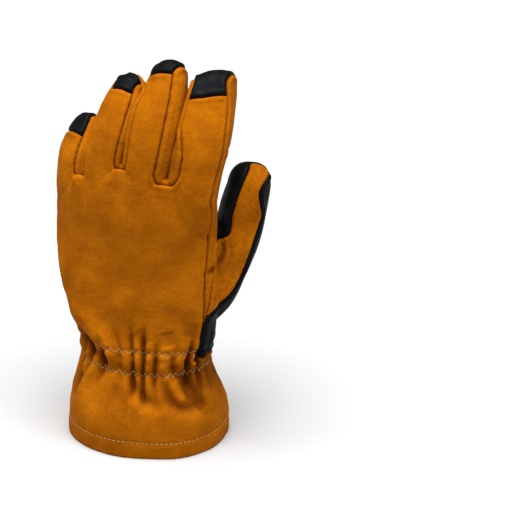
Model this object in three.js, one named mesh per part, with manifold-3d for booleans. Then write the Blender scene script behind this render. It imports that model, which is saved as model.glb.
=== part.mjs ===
// Firefighter glove for a left hand: a leather shell of twelve sewn panels.
// It stands on its hem with the fingers up. The back of the hand faces -Y, the
// palm +Y, and the thumb is on the +X side. Millimetres, +Z up.
//
// The glove is first laid out straight, as a pattern cutter sees it: x runs
// across the hand, y from the back to the palm and z up from the hem. The
// panels are cut from that straight shell, and then every vertex is moved by
// one bend that arches the hand and curls the fingers.

import * as THREE from "three";
import { mergeVertices } from "three/addons/utils/BufferGeometryUtils.js";
import Module from "manifold-3d";

const wasm = await Module();
wasm.setup();

// Leather
const WALL = 2.2;
const HEM_WALL = 4.4;
const HEM_TURN = 12;
const HEM_STEP = 0.5;
const SEAM_GAP = 0.5;

// Cuff and wrist
const CUFF_WIDTH = 111;
const CUFF_DEPTH = 97;
const WRIST_HEIGHT = 66;
const WRIST_WIDTH = 92;
const WRIST_DEPTH = 62;
const CUFF_SEAM_OFFSET = 10;

// Hand
const KNUCKLE_HEIGHT = 172;
const KNUCKLE_DEPTH = 35;
const HAND_LEAN = -11.5;
const WEB_DROP = 3;

// Gathers at the wrist, on the back of the hand
const PLEAT_COUNT = 9;
const PLEAT_DEPTH = 3;
const PLEAT_REACH = 24;

// Side walls of the fingers and of the hand
const SIDE_WIDTH = 17;
const SIDE_TIP_SHARE = 0.72;
const SIDE_TIP_INSET = 11;
const SIDE_TIP_ROUND = 6;
const WRIST_SEAM = 15.5;
const LITTLE_FOOT_SHARE = 0.6;
const LITTLE_WALL_DEPTH = 7;
const JUNCTION_HEIGHT = 93;
const INDEX_FOOT = 6.5;
const INDEX_FOOT_START = 0.15;
const CROTCH_DEPTH = 9;
const CROTCH_REACH = 14;
const SEAM_LAP = 1;

// Upper edge of the back leather below the fingertips
const BACK_BOW = 5;
const BOW_SHARE = 0.56;

// Fingers from the little finger to the index finger. Lengths run from the
// knuckle line to the tip, web is the height of the crotch on the thumb side
// above the knuckle line, lean is how far the tip stands off sideways, full is
// the tip's share of the base width, and the bends are in degrees.
const FINGERS = [
  { name: "little", width: 25, depth: 27, length: 54, lean: -10, full: 0.98, web: 19, wrap: 19, bends: [27, 14] },
  { name: "ring", width: 27.5, depth: 31, length: 92, lean: 1, full: 1.0, web: 33, wrap: 18, bends: [22, 14] },
  { name: "middle", width: 30.5, depth: 32, length: 107, lean: 14, full: 1.04, web: 27, wrap: 18, bends: [19, 12] },
  { name: "index", width: 38, depth: 35, length: 99, lean: 27, full: 0.86, web: 0, wrap: 21, bends: [17, 12] },
];
const LEAN_POWER = 1.4;
// Where a finger bends, as shares of its length from the knuckle line
const BENDS = [
  { name: "middle_joint", at: 0.5, reach: 0.36 },
  { name: "end_joint", at: 0.75, reach: 0.28 },
];
// All four fingers bend alike at the knuckle line
const KNUCKLE_BEND = 13;
const KNUCKLE_REACH = 28;
// Sections of a finger: at is the share of its length, wide and deep are shares
// of its width and depth
const FINGER_SECTIONS = [
  { at: -0.12, wide: 0.9, deep: 1.04 },
  { at: 0.1, wide: 0.97, deep: 1.06 },
  { at: 0.3, wide: 1.04, deep: 1.04 },
  { at: 0.5, wide: 1.11, deep: 1.0 },
  { at: 0.72, wide: 1.14, deep: 0.94 },
  { at: 0.88, wide: 1.08, deep: 0.87 },
];

// Sections of the cuff: up is the share of the wrist height and flare the share
// of the way from the wrist's size to the hem's
const CUFF_SECTIONS = [
  { up: 0.0, flare: 1.0 },
  { up: 0.19, flare: 1.0 },
  { up: 0.45, flare: 0.86 },
  { up: 0.7, flare: 0.42 },
  { up: 0.88, flare: 0.09 },
  { up: 1.0, flare: 0.0 },
];
// Sections of the hand: up is the share of the way from wrist to knuckles,
// spread the share of the way from the wrist's width and depth to the knuckles'
const HAND_SECTIONS = [
  { up: 0.14, spread: 0.26, thin: 0.3, lean: 0.1 },
  { up: 0.33, spread: 0.55, thin: 0.62, lean: 0.42 },
  { up: 0.55, spread: 0.76, thin: 0.82, lean: 0.8 },
  { up: 0.78, spread: 0.94, thin: 0.93, lean: 0.97 },
  { up: 1.0, spread: 1.0, thin: 1.0, lean: 1.0 },
];
const HAND_TOP = [
  { up: 0.45, wide: 1.0, deep: 0.96 },
  { up: 0.85, wide: 0.99, deep: 0.82 },
  { up: 1.0, wide: 0.96, deep: 0.5 },
];

// Thumb: its middle line from the ball of the hand to the tip
const THUMB_WIDTH = 32;
const THUMB_FULL = 1;
const THUMB_DEPTH = 29;
const THUMB_LINE = [
  { across: 20, palm: 9, up: 84 },
  { across: 41, palm: 14, up: 110 },
  { across: 66, palm: 18, up: 144 },
  { across: 75, palm: 18, up: 170 },
  { across: 81, palm: 16, up: 198 },
];
const THUMB_SECTIONS = [
  { at: 0.0, wide: 1.1, deep: 0.75 },
  { at: 0.25, wide: 1.3, deep: 0.95 },
  { at: 0.5, wide: 1.1, deep: 1.05 },
  { at: 0.75, wide: 1.03, deep: 1.02 },
  { at: 0.87, wide: 0.95, deep: 0.9 },
];
const THUMB_CROTCH_HEIGHT = 145;
const THUMB_CROTCH_ACROSS = 49.6;
const THUMB_GAP_LEAN = 0.2;
// Seam round the ball of the thumb: across is a share of the crotch's distance
// from the middle, up the share of the way from the wrist to the crotch
const BALL_SEAM = [
  { across: 1.0, up: 1.0 },
  { across: 0.71, up: 0.87 },
  { across: 0.38, up: 0.61 },
  { across: 0.22, up: 0.32 },
  { across: 0.18, up: -0.08 },
];
// Outline of the thumb's back leather: at is the share of the thumb's length
// and side the distance from its middle line as a share of its width
const THUMB_STRIP = [
{ at: 0.91, side: 0.30 },
  { at: 0.96, side: 0.06 },
  { at: 0.92, side: -0.12 },
  { at: 0.73, side: -0.30 },
  { at: 0.56, side: -0.43 },
  { at: 0.44, side: -0.56 },
  { at: 0.30, side: -0.69 },
  { at: 0.16, side: -0.58 },
  { at: 0.15, side: 0.06 },
  { at: 0.38, side: 0.52 },
  { at: 0.56, side: 0.42 },
  { at: 0.73, side: 0.35 },
];
const WING_LAP = 6;
const WING_WIDTH = 15;
const WING_RISE = 34;
const WING_DROP = 8;

// Seams across the palm: across is a share of the knuckles' width, upper and
// lower are heights as shares of the knuckles' height
const PALM_SEAMS = [
  { across: -0.5, upper: 1.07, lower: 0.913 },
  { across: -0.15, upper: 1.047, lower: 0.872 },
  { across: 0.18, upper: 1.006, lower: 0.884 },
  { across: 0.51, upper: 0.959, lower: 0.936 },
];

// The arch of the hand across the knuckles
const ARCH_RADIUS = 110;
const ARCH_LIMIT = 62;
const ARCH_START = 75;
const ARCH_FULL = 160;
// A curl turns the leather about the finger's middle up to this depth
const CURL_HOLD = 19;

// Roundness of the sections and of the tips
const CUFF_POWER = 2.15;
const HAND_POWER = 2.6;
const DIGIT_POWER = 2.3;
const TIP_POWER = 0.7;
const TIP_FLAT = 0.35;

// The two sides of the leather, with the fineness of their faces
const OUTSIDE = {
  inset: 0,
  hemInset: 0,
  bottom: 0,
  pleated: true,
  pleatSides: 36,
  sides: 14,
  cuffRows: 6,
  handRows: 8,
  digitSides: 14,
  digitRows: 10,
  tipRows: 3,
};
const INSIDE = {
  inset: WALL,
  hemInset: HEM_WALL,
  bottom: -20,
  pleated: false,
  pleatSides: 14,
  sides: 12,
  cuffRows: 5,
  handRows: 7,
  digitSides: 10,
  digitRows: 8,
  tipRows: 2,
};

// How far the cutting shapes reach past the middle, and their finest steps
const REACH_ACROSS = 105;
const REACH_BACK = 90;
const REACH_PALM = 90;
const TOP = 330;
const BOTTOM = -12;
const CUT_STEP = 12;
const ROUND_STEPS = 6;
const BOW_STEPS = 6;
const SEAM_STEPS = 12;
const STRIP_STEPS = 30;

function degrees(angle) {
  return (angle * Math.PI) / 180;
}

function mix(from, to, share) {
  return from + (to - from) * share;
}

function smooth(share) {
  const t = Math.min(1, Math.max(0, share));
  return t * t * (3 - 2 * t);
}

// A smooth value from a table, read along one of its columns
function readTable(rows, key, column, at) {
  if (at <= rows[0][key]) return rows[0][column];
  const last = rows.length - 1;
  if (at >= rows[last][key]) return rows[last][column];
  let i = 0;
  while (rows[i + 1][key] < at) i += 1;
  const a = rows[i];
  const b = rows[i + 1];
  const span = b[key] - a[key];
  const t = (at - a[key]) / span;
  const slopeAt = (k) => {
    if (k === 0 || k === last) return (b[column] - a[column]) / span;
    return (rows[k + 1][column] - rows[k - 1][column]) / (rows[k + 1][key] - rows[k - 1][key]);
  };
  const m0 = slopeAt(i) * span;
  const m1 = slopeAt(i + 1) * span;
  const t2 = t * t;
  const t3 = t2 * t;
  return (2 * t3 - 3 * t2 + 1) * a[column] + (t3 - 2 * t2 + t) * m0
    + (3 * t2 - 2 * t3) * b[column] + (t3 - t2) * m1;
}

// Fingers laid side by side across the knuckles
const KNUCKLE_WIDTH = FINGERS.reduce((sum, finger) => sum + finger.width, 0);
let edge = HAND_LEAN - KNUCKLE_WIDTH / 2;
for (const finger of FINGERS) {
  finger.base = edge + finger.width / 2;
  finger.tip = KNUCKLE_HEIGHT + finger.length;
  finger.webAcross = edge + finger.width;
  finger.webHeight = KNUCKLE_HEIGHT + finger.web;
  edge += finger.width;
}

function fingerMiddle(finger, z) {
  const share = Math.max(0, (z - KNUCKLE_HEIGHT) / finger.length);
  return finger.base + finger.lean * share ** LEAN_POWER;
}

// Height of the hand's top edge, which dips at the two outer fingers
const WEBS = FINGERS.slice(0, 3);
const WEB_LINE = WEBS.map((finger) => ({ across: finger.webAcross, height: finger.webHeight - WEB_DROP }));
WEB_LINE.unshift({ across: FINGERS[0].base, height: WEB_LINE[0].height - 2 * WEB_DROP });
WEB_LINE.push({ across: FINGERS[3].base, height: WEB_LINE[3].height - 2 * WEB_DROP });

// The bend: where a straight finger goes when it curls
const CURL_STEP = 2;

function curlTable(finger) {
  const rows = [];
  let palm = 0;
  let up = KNUCKLE_HEIGHT / 2;
  let angle = 0;
  for (let z = up; z <= KNUCKLE_HEIGHT * 2; z += CURL_STEP) {
    rows.push({ z, palm, up, angle });
    const here = z + CURL_STEP / 2;
    angle = degrees(KNUCKLE_BEND) * smooth((here - KNUCKLE_HEIGHT) / KNUCKLE_REACH + 0.5);
    BENDS.forEach((bend, i) => {
      const middle = KNUCKLE_HEIGHT + bend.at * finger.length;
      const reach = bend.reach * finger.length;
      angle += degrees(finger.bends[i]) * smooth((here - middle) / reach + 0.5);
    });
    palm += Math.sin(angle) * CURL_STEP;
    up += Math.cos(angle) * CURL_STEP;
  }
  return rows;
}

const CURLS = FINGERS.map((finger) => curlTable(finger));

function curlOf(rows, z) {
  if (z <= rows[0].z) return { palm: 0, up: z, angle: 0 };
  const place = Math.min(rows.length - 1.001, (z - rows[0].z) / CURL_STEP);
  const i = Math.floor(place);
  const t = place - i;
  return {
    palm: mix(rows[i].palm, rows[i + 1].palm, t),
    up: mix(rows[i].up, rows[i + 1].up, t),
    angle: mix(rows[i].angle, rows[i + 1].angle, t),
  };
}

// Each finger curls by itself; the change from one to the next is in the clear
// between them
function curlAt(x, z) {
  let i = 0;
  while (i < WEBS.length) {
    const near = FINGERS[i];
    const next = FINGERS[i + 1];
    const gap = (fingerMiddle(near, z) + near.width / 2 + fingerMiddle(next, z) - next.width / 2) / 2;
    if (x < gap) break;
    i += 1;
  }
  return curlOf(CURLS[i], z);
}

function bend(x, y, z) {
  const curl = curlAt(x, z);
  const arch = smooth((z - ARCH_START) / (ARCH_FULL - ARCH_START)) / ARCH_RADIUS;
  const held = Math.min(ARCH_LIMIT, Math.max(-ARCH_LIMIT, x));
  const turn = held * arch;
  const rest = x - held;
  const across = arch > 1e-6 ? Math.sin(turn) / arch : held;
  const sunk = arch > 1e-6 ? (1 - Math.cos(turn)) / arch : 0;
  const near = Math.min(CURL_HOLD, Math.max(-CURL_HOLD, y));
  const out = curl.palm + near * Math.cos(curl.angle) + y - near;
  return [
    across + rest * Math.cos(turn) - out * Math.sin(turn),
    sunk + rest * Math.sin(turn) + out * Math.cos(turn),
    curl.up - near * Math.sin(curl.angle),
  ];
}

function bendGeometry(geometry) {
  const p = geometry.attributes.position;
  for (let i = 0; i < p.count; i += 1) {
    p.setXYZ(i, ...bend(p.getX(i), p.getY(i), p.getZ(i)));
  }
  return geometry;
}


function ringPoint(angle, a, b, power) {
  const c = Math.cos(angle);
  const s = Math.sin(angle);
  return [
    a * Math.sign(c) * Math.abs(c) ** (2 / power),
    b * Math.sign(s) * Math.abs(s) ** (2 / power),
  ];
}

// Joins two neighbouring rings, which may have different numbers of points
function joinRings(lower, upper, indices) {
  const turn = 2 * Math.PI;
  const angleOf = (ring, i) => ring.angles[i % ring.angles.length] + (i >= ring.angles.length ? turn : 0);
  const indexOf = (ring, i) => ring.start + (i % ring.angles.length);
  let i = 0;
  let j = 0;
  while (i < lower.angles.length || j < upper.angles.length) {
    const lowerNext = i < lower.angles.length ? angleOf(lower, i + 1) : Infinity;
    const upperNext = j < upper.angles.length ? angleOf(upper, j + 1) : Infinity;
    if (lowerNext <= upperNext) {
      indices.push(indexOf(lower, i), indexOf(lower, i + 1), indexOf(upper, j));
      i += 1;
    } else {
      indices.push(indexOf(lower, i), indexOf(upper, j + 1), indexOf(upper, j));
      j += 1;
    }
  }
}

// Closes a flat ring from its palm half straight over to its back half
function closeRidge(ring, indices) {
  const count = ring.angles.length;
  const across = (j) => ring.start + ((count - j) % count);
  for (let j = 0; j < count / 2; j += 1) {
    const here = ring.start + j;
    if (j > 0) indices.push(here, here + 1, across(j));
    if (j < count / 2 - 1) indices.push(here + 1, across(j + 1), across(j));
  }
}

// A closed solid through rings; place gives the point of a row at an angle.
// The top is closed to its middle, or along a ridge where it is long and flat.
function loft(rows, anglesOf, place, ridge = false) {
  const positions = [];
  const indices = [];
  const rings = rows.map((row) => {
    const ring = { start: positions.length / 3, angles: anglesOf(row) };
    ring.angles.forEach((angle) => positions.push(...place(row, angle)));
    return ring;
  });
  for (let i = 0; i < rings.length - 1; i += 1) joinRings(rings[i], rings[i + 1], indices);
  const last = rings[rings.length - 1];
  if (ridge) closeRidge(last, indices);
  [rings[0], ...(ridge ? [] : [last])].forEach((ring, end) => {
    const centre = [0, 1, 2].map((k) => ring.angles.reduce(
      (sum, _, j) => sum + positions[(ring.start + j) * 3 + k] / ring.angles.length,
      0,
    ));
    const middle = positions.length / 3;
    positions.push(...centre);
    ring.angles.forEach((_, j) => {
      const here = ring.start + j;
      const next = ring.start + ((j + 1) % ring.angles.length);
      indices.push(middle, ...(end === 0 ? [next, here] : [here, next]));
    });
  });
  const geometry = new THREE.BufferGeometry();
  geometry.setAttribute("position", new THREE.Float32BufferAttribute(positions, 3));
  geometry.setIndex(indices);
  return solid(geometry);
}

function signedVolume(positions, indices) {
  let volume = 0;
  const a = new THREE.Vector3();
  const b = new THREE.Vector3();
  const c = new THREE.Vector3();
  for (let i = 0; i < indices.length; i += 3) {
    a.fromArray(positions, indices[i] * 3);
    b.fromArray(positions, indices[i + 1] * 3);
    c.fromArray(positions, indices[i + 2] * 3);
    volume += a.dot(b.cross(c)) / 6;
  }
  return volume;
}

// A three.js geometry as a solid that can be joined and cut, faces pointing out
function solid(geometry) {
  const bare = geometry.clone();
  bare.deleteAttribute("normal");
  bare.deleteAttribute("uv");
  const merged = mergeVertices(bare, 1e-4);
  const positions = merged.attributes.position.array;
  const indices = Uint32Array.from(merged.index.array);
  if (signedVolume(positions, indices) < 0) {
    for (let i = 0; i < indices.length; i += 3) {
      const swapped = indices[i + 1];
      indices[i + 1] = indices[i + 2];
      indices[i + 2] = swapped;
    }
  }
  return new wasm.Manifold(new wasm.Mesh({
    numProp: 3,
    vertProperties: Float32Array.from(positions),
    triVerts: indices,
  }));
}

// Cutting shapes. An outline is grown or shrunk by half of the seam's gap.
function growOutline(points, distance) {
  const count = points.length;
  let area = 0;
  for (let i = 0; i < count; i += 1) {
    area += points[i].cross(points[(i + 1) % count]) / 2;
  }
  const side = Math.sign(area) * distance;
  return points.map((point, i) => {
    const before = point.clone().sub(points[(i + count - 1) % count]).normalize();
    const after = points[(i + 1) % count].clone().sub(point).normalize();
    const normal = new THREE.Vector2(before.y + after.y, -before.x - after.x);
    const scale = side / Math.max(0.3, normal.lengthSq() / 2);
    return point.clone().addScaledVector(normal, scale);
  });
}

// An outline as a prism of unit height, with no side of the outline longer
// than the cutting step
function prism(points, grow) {
  const outline = growOutline(points, grow);
  const fine = points.flatMap((point, i) => {
    const next = (i + 1) % points.length;
    const count = Math.ceil(point.distanceTo(points[next]) / CUT_STEP);
    return Array.from({ length: count }, (_, k) => outline[i].clone().lerp(outline[next], k / count));
  });
  return new THREE.ExtrudeGeometry(new THREE.Shape(fine), { depth: 1, bevelEnabled: false, steps: 1 });
}

// A prism through the glove from back to palm; the outline is in x and z
function cutThrough(points, grow) {
  const geometry = prism(points, grow);
  const p = geometry.attributes.position;
  for (let i = 0; i < p.count; i += 1) {
    p.setXYZ(i, p.getX(i), mix(-REACH_BACK, REACH_PALM, p.getZ(i)), p.getY(i));
  }
  return solid(geometry);
}

// A prism across the hand; the outline is in z and y, and its ends may lean
function cutAcross(points, x0, x1, grow) {
  const geometry = prism(points, grow);
  const p = geometry.attributes.position;
  for (let i = 0; i < p.count; i += 1) {
    const z = p.getX(i);
    p.setXYZ(i, mix(x0(z), x1(z), p.getZ(i)), p.getY(i), z);
  }
  return solid(geometry);
}

// Splits a solid in two along a cutting shape, with the seam's gap between
function split(whole, cutter) {
  return {
    inside: whole.intersect(cutter(-SEAM_GAP / 2)),
    outside: whole.subtract(cutter(SEAM_GAP / 2)),
  };
}

function curve(points, count) {
  return new THREE.SplineCurve(points.map(([x, y]) => new THREE.Vector2(x, y))).getPoints(count);
}

function corners(points) {
  return points.map(([x, y]) => new THREE.Vector2(x, y));
}

// Angles of a ring, closer together on the pleated back
function ringAngles(backSides, palmSides) {
  const angles = [];
  for (let i = 0; i < palmSides; i += 1) angles.push((Math.PI * i) / palmSides);
  for (let i = 0; i < backSides; i += 1) angles.push(Math.PI + (Math.PI * i) / backSides);
  return angles;
}

// How far the leather stands in or out at the wrist's gathers
function pleat(angle, z, folded) {
  if (angle <= Math.PI) return 0;
  const along = (angle - Math.PI) / Math.PI;
  const fade = smooth(1 - Math.abs(z - WRIST_HEIGHT) / PLEAT_REACH);
  const sides = smooth(along * 6) * smooth((1 - along) * 6);
  const fold = folded ? (1 - Math.cos(2 * Math.PI * PLEAT_COUNT * along)) / 2 : 1;
  return -PLEAT_DEPTH * fade * sides * fold;
}

// Half width, half depth and middle of the hand and cuff at a height
function handSection(z) {
  if (z <= WRIST_HEIGHT) {
    const flare = readTable(CUFF_SECTIONS, "up", "flare", z / WRIST_HEIGHT);
    return {
      a: mix(WRIST_WIDTH, CUFF_WIDTH, flare) / 2,
      b: mix(WRIST_DEPTH, CUFF_DEPTH, flare) / 2,
      middle: 0,
      power: CUFF_POWER,
    };
  }
  const rows = [{ up: 0, spread: 0, thin: 0, lean: 0 }, ...HAND_SECTIONS];
  const up = Math.min(1, (z - WRIST_HEIGHT) / (KNUCKLE_HEIGHT - WRIST_HEIGHT));
  const section = {
    a: mix(WRIST_WIDTH, KNUCKLE_WIDTH, readTable(rows, "up", "spread", up)) / 2,
    b: mix(WRIST_DEPTH, KNUCKLE_DEPTH, readTable(rows, "up", "thin", up)) / 2,
    middle: HAND_LEAN * readTable(rows, "up", "lean", up),
    power: mix(CUFF_POWER, HAND_POWER, up),
  };
  return section;
}

// The hand and cuff as one solid, outside or inside of the leather
function handBody(skin) {
  const rows = [];
  if (skin.bottom < 0) rows.push({ z: skin.bottom, hem: true });
  rows.push({ z: 0, hem: true }, { z: HEM_TURN, hem: true }, { z: HEM_TURN + HEM_STEP });
  for (let i = 1; i <= skin.cuffRows; i += 1) {
    rows.push({ z: mix(HEM_TURN, WRIST_HEIGHT, i / skin.cuffRows) });
  }
  for (let i = 1; i <= skin.handRows; i += 1) {
    rows.push({ z: mix(WRIST_HEIGHT, KNUCKLE_HEIGHT, i / skin.handRows) });
  }
  HAND_TOP.forEach((row) => rows.push({ z: KNUCKLE_HEIGHT, ...row }));
  const fine = ringAngles(skin.pleatSides, skin.sides);
  const plain = ringAngles(skin.sides, skin.sides);
  const anglesOf = (row) => (row.z < WRIST_HEIGHT + PLEAT_REACH ? fine : plain);
  return loft(rows, anglesOf, (row, angle) => {
    const inset = skin.inset;
    const section = handSection(Math.max(0, row.z));
    const thickness = row.hem ? skin.hemInset : inset;
    const depth = pleat(angle, row.z, skin.pleated);
    const a = section.a - thickness + depth;
    const b = section.b - thickness + depth;
    if (row.up === undefined) {
      const [x, y] = ringPoint(angle, a, b, section.power);
      return [section.middle + x, y, row.z];
    }
    const [x, y] = ringPoint(angle, a * row.wide, b * row.deep, section.power);
    const top = readTable(WEB_LINE, "across", "height", section.middle + x) - inset;
    return [section.middle + x, y, mix(KNUCKLE_HEIGHT, top, row.up)];
  }, true);
}

// A digit along a middle line, closed by a rounded tip
function digit(line, sections, width, full, depth, skin) {
  const length = line.getLength();
  const rows = [];
  const tipStart = sections[sections.length - 1].at;
  const start = sections[0].at;
  for (let i = 0; i <= skin.digitRows; i += 1) {
    rows.push({ at: mix(start, tipStart, i / skin.digitRows), round: 1 });
  }
  for (let i = 1; i <= skin.tipRows; i += 1) {
    const turn = (Math.PI / 2) * (i / (skin.tipRows + TIP_FLAT));
    rows.push({ at: mix(tipStart, 1 - skin.inset / length, Math.sin(turn)), round: Math.cos(turn) ** TIP_POWER });
  }
  const angles = ringAngles(skin.digitSides / 2, skin.digitSides / 2);
  return loft(rows, () => angles, (row, angle) => {
    const wide = readTable(sections, "at", "wide", row.at);
    const deep = readTable(sections, "at", "deep", row.at);
    const [x, y] = ringPoint(
      angle,
      ((wide * width * mix(1, full, smooth(row.at))) / 2 - skin.inset) * row.round,
      ((deep * depth) / 2 - skin.inset) * row.round,
      DIGIT_POWER,
    );
    return line.place(row.at, x, y);
  });
}

function fingerLine(finger) {
  return {
    getLength: () => finger.length,
    place: (at, x, y) => {
      const z = KNUCKLE_HEIGHT + finger.length * at;
      return [fingerMiddle(finger, z) + x, y, z];
    },
  };
}

const THUMB_CURVE = new THREE.CatmullRomCurve3(
  THUMB_LINE.map((point) => new THREE.Vector3(point.across, point.palm, point.up)),
);
const THUMB_CURVE_LENGTH = THUMB_CURVE.getLength();

const thumbLine = {
  getLength: () => THUMB_CURVE_LENGTH,
  place: (at, x, y) => {
    const point = THUMB_CURVE.getPointAt(at);
    const along = THUMB_CURVE.getTangentAt(at);
    const across = new THREE.Vector3(along.z, 0, -along.x).normalize();
    const palm = new THREE.Vector3().crossVectors(along, across).normalize();
    point.addScaledVector(across, x).addScaledVector(palm, y);
    return point.toArray();
  },
};

function body(skin) {
  let whole = handBody(skin);
  for (const finger of FINGERS) {
    whole = whole.add(digit(fingerLine(finger), FINGER_SECTIONS, finger.width, finger.full, finger.depth, skin));
  }
  return whole.add(digit(thumbLine, THUMB_SECTIONS, THUMB_WIDTH, THUMB_FULL, THUMB_DEPTH, skin));
}

// Seams of the side walls, which run from the palm to the fingertips
const HALF_SIDE = SIDE_WIDTH / 2;

function wallOutline(from, finger) {
  const top = finger.tip - SIDE_TIP_INSET;
  const tipHalf = HALF_SIDE * SIDE_TIP_SHARE;
  const shoulder = top - SIDE_TIP_ROUND;
  const round = curve([[shoulder, -tipHalf], [top, 0], [shoulder, tipHalf]], ROUND_STEPS);
  return [...corners([[from, -HALF_SIDE]]), ...round, ...corners([[from, HALF_SIDE]])];
}

function middleOf(finger) {
  return (z) => fingerMiddle(finger, z);
}

// Where the back leather's seam lies on the two sides of the hand
function backSeam(z) {
  const share = (z - WRIST_HEIGHT) / (KNUCKLE_HEIGHT - WRIST_HEIGHT);
  return -mix(WRIST_SEAM, HALF_SIDE, smooth(share * 2));
}

function seamPoints(from, to, offset) {
  const count = Math.ceil((to - from) / CUT_STEP);
  const points = [];
  for (let i = 0; i <= count; i += 1) {
    const z = mix(from, to, i / count);
    points.push(new THREE.Vector2(z, backSeam(z) + offset(z)));
  }
  return points;
}

const LITTLE = FINGERS[0];
const INDEX = FINGERS[3];

function thumbGap(z) {
  return THUMB_CROTCH_ACROSS + THUMB_GAP_LEAN * (z - THUMB_CROTCH_HEIGHT);
}

function littleWall(grow) {
  const low = seamPoints(WRIST_HEIGHT, KNUCKLE_HEIGHT, () => 0);
  const wall = wallOutline(KNUCKLE_HEIGHT, LITTLE).slice(1);
  const outline = [...low, ...wall, ...corners([[WRIST_HEIGHT, HALF_SIDE * LITTLE_FOOT_SHARE]])];
  const inside = (z) => LITTLE.base + LITTLE_WALL_DEPTH
    + (LITTLE.lean * (z - KNUCKLE_HEIGHT)) / LITTLE.length;
  return cutAcross(outline, () => -REACH_ACROSS, inside, grow);
}

// Width of the index wall's foot, which starts in a point at the junction
function wallFoot(z) {
  const share = (z - JUNCTION_HEIGHT) / (THUMB_CROTCH_HEIGHT - JUNCTION_HEIGHT);
  return INDEX_FOOT * smooth(share + INDEX_FOOT_START);
}

function indexWall(grow) {
  const upper = cutAcross(
    wallOutline(THUMB_CROTCH_HEIGHT - SEAM_LAP, INDEX),
    middleOf(INDEX),
    thumbGap,
    grow,
  );
  const back = seamPoints(JUNCTION_HEIGHT, THUMB_CROTCH_HEIGHT, () => 0);
  const front = seamPoints(JUNCTION_HEIGHT + SEAM_LAP, THUMB_CROTCH_HEIGHT, wallFoot).reverse();
  const lower = cutAcross([...back, ...front], () => HAND_LEAN, () => REACH_ACROSS, grow);
  return upper.add(lower);
}

// The strip between two fingers: up one, round the crotch and up the other
function fourchette(near, next) {
  return (grow) => {
    const from = near.webHeight - CROTCH_DEPTH;
    const foot = from - 2 * CROTCH_DEPTH;
    const middle = near.webAcross;
    const left = cutAcross(wallOutline(from, near), middleOf(near), () => middle + CROTCH_REACH, grow);
    const right = cutAcross(wallOutline(from, next), () => middle - CROTCH_REACH, middleOf(next), grow);
    const top = Math.max(near.tip, next.tip);
    const lane = cutThrough(corners([
      [fingerMiddle(near, foot), foot],
      [fingerMiddle(near, top), top],
      [fingerMiddle(next, top), top],
      [fingerMiddle(next, foot), foot],
    ]), 0);
    return left.add(right).intersect(lane);
  };
}

function cuffFront(grow) {
  return cutAcross(corners([
    [BOTTOM, CUFF_SEAM_OFFSET],
    [WRIST_HEIGHT, CUFF_SEAM_OFFSET],
    [WRIST_HEIGHT, REACH_PALM],
    [BOTTOM, REACH_PALM],
  ]), () => -REACH_ACROSS, () => REACH_ACROSS, grow);
}

// The back leather ends below each fingertip in an edge that bows upwards
function backPanel(grow) {
  const top = FINGERS.flatMap((finger) => {
    const height = finger.tip - finger.wrap;
    const middle = fingerMiddle(finger, height);
    return Array.from({ length: BOW_STEPS + 1 }, (_, i) => {
      const t = (2 * i) / BOW_STEPS - 1;
      return [middle + finger.width * BOW_SHARE * t, height - BACK_BOW * t * t];
    });
  });
  const above = cutThrough(corners([
    [-REACH_ACROSS, BOTTOM],
    [-REACH_ACROSS, top[0][1]],
    ...top,
    [REACH_ACROSS, top[top.length - 1][1]],
    [REACH_ACROSS, BOTTOM],
  ]), grow);
  const hand = cutAcross([
    ...corners([[BOTTOM, -REACH_BACK], [BOTTOM, CUFF_SEAM_OFFSET + SEAM_LAP]]),
    ...corners([[WRIST_HEIGHT, CUFF_SEAM_OFFSET + SEAM_LAP]]),
    ...seamPoints(WRIST_HEIGHT, JUNCTION_HEIGHT, () => 0),
    ...seamPoints(JUNCTION_HEIGHT + SEAM_LAP, THUMB_CROTCH_HEIGHT, (z) => wallFoot(z) / 2),
    ...corners([[TOP, -HALF_SIDE / 2], [TOP, -REACH_BACK]]),
  ], () => -REACH_ACROSS, () => REACH_ACROSS, grow);
  return above.intersect(hand);
}

// The thumb's pieces meet the palm along a seam round the ball of the thumb
function thumbRegion(grow) {
  const ball = curve(BALL_SEAM.map((row) => [
    THUMB_CROTCH_ACROSS * row.across,
    mix(WRIST_HEIGHT, THUMB_CROTCH_HEIGHT, row.up),
  ]), SEAM_STEPS);
  return cutThrough([
    ...corners([[thumbGap(TOP), TOP]]),
    ...ball,
    ...corners([[REACH_ACROSS, ball[ball.length - 1].y], [REACH_ACROSS, TOP]]),
  ], grow);
}

// A point beside the thumb's middle line, seen from the back
function besideThumb(row) {
  const at = Math.min(1, row.at);
  const point = THUMB_CURVE.getPointAt(at);
  const along = THUMB_CURVE.getTangentAt(at);
  point.addScaledVector(along, (row.at - at) * THUMB_CURVE_LENGTH);
  const across = new THREE.Vector2(along.z, -along.x).normalize();
  return [
    point.x + across.x * row.side * THUMB_WIDTH,
    point.z + across.y * row.side * THUMB_WIDTH,
  ];
}

// The gold back of the thumb: a strip that widens towards the hand and ends in
// a wing beside the index wall
function thumbBack(grow) {
  const outline = [...THUMB_STRIP, THUMB_STRIP[0]].map(besideThumb);
  const strip = cutThrough(curve(outline, STRIP_STEPS).slice(0, -1), grow);
  const backHalf = cutAcross(corners([
    [BOTTOM, -REACH_BACK],
    [BOTTOM, THUMB_DEPTH / 2],
    [TOP, THUMB_DEPTH / 2],
    [TOP, -REACH_BACK],
  ]), () => HAND_LEAN, () => REACH_ACROSS, grow);
  const top = THUMB_CROTCH_HEIGHT - WING_DROP;
  const start = JUNCTION_HEIGHT + SEAM_LAP;
  const back = seamPoints(start, top, () => -WING_LAP);
  const width = (z) => SEAM_LAP + WING_WIDTH * smooth((z - JUNCTION_HEIGHT) / WING_RISE);
  const front = seamPoints(start, top, width).reverse();
  const wing = cutAcross([...back, ...front], () => HAND_LEAN, () => REACH_ACROSS, grow);
  return strip.intersect(backHalf).add(wing);
}

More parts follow.
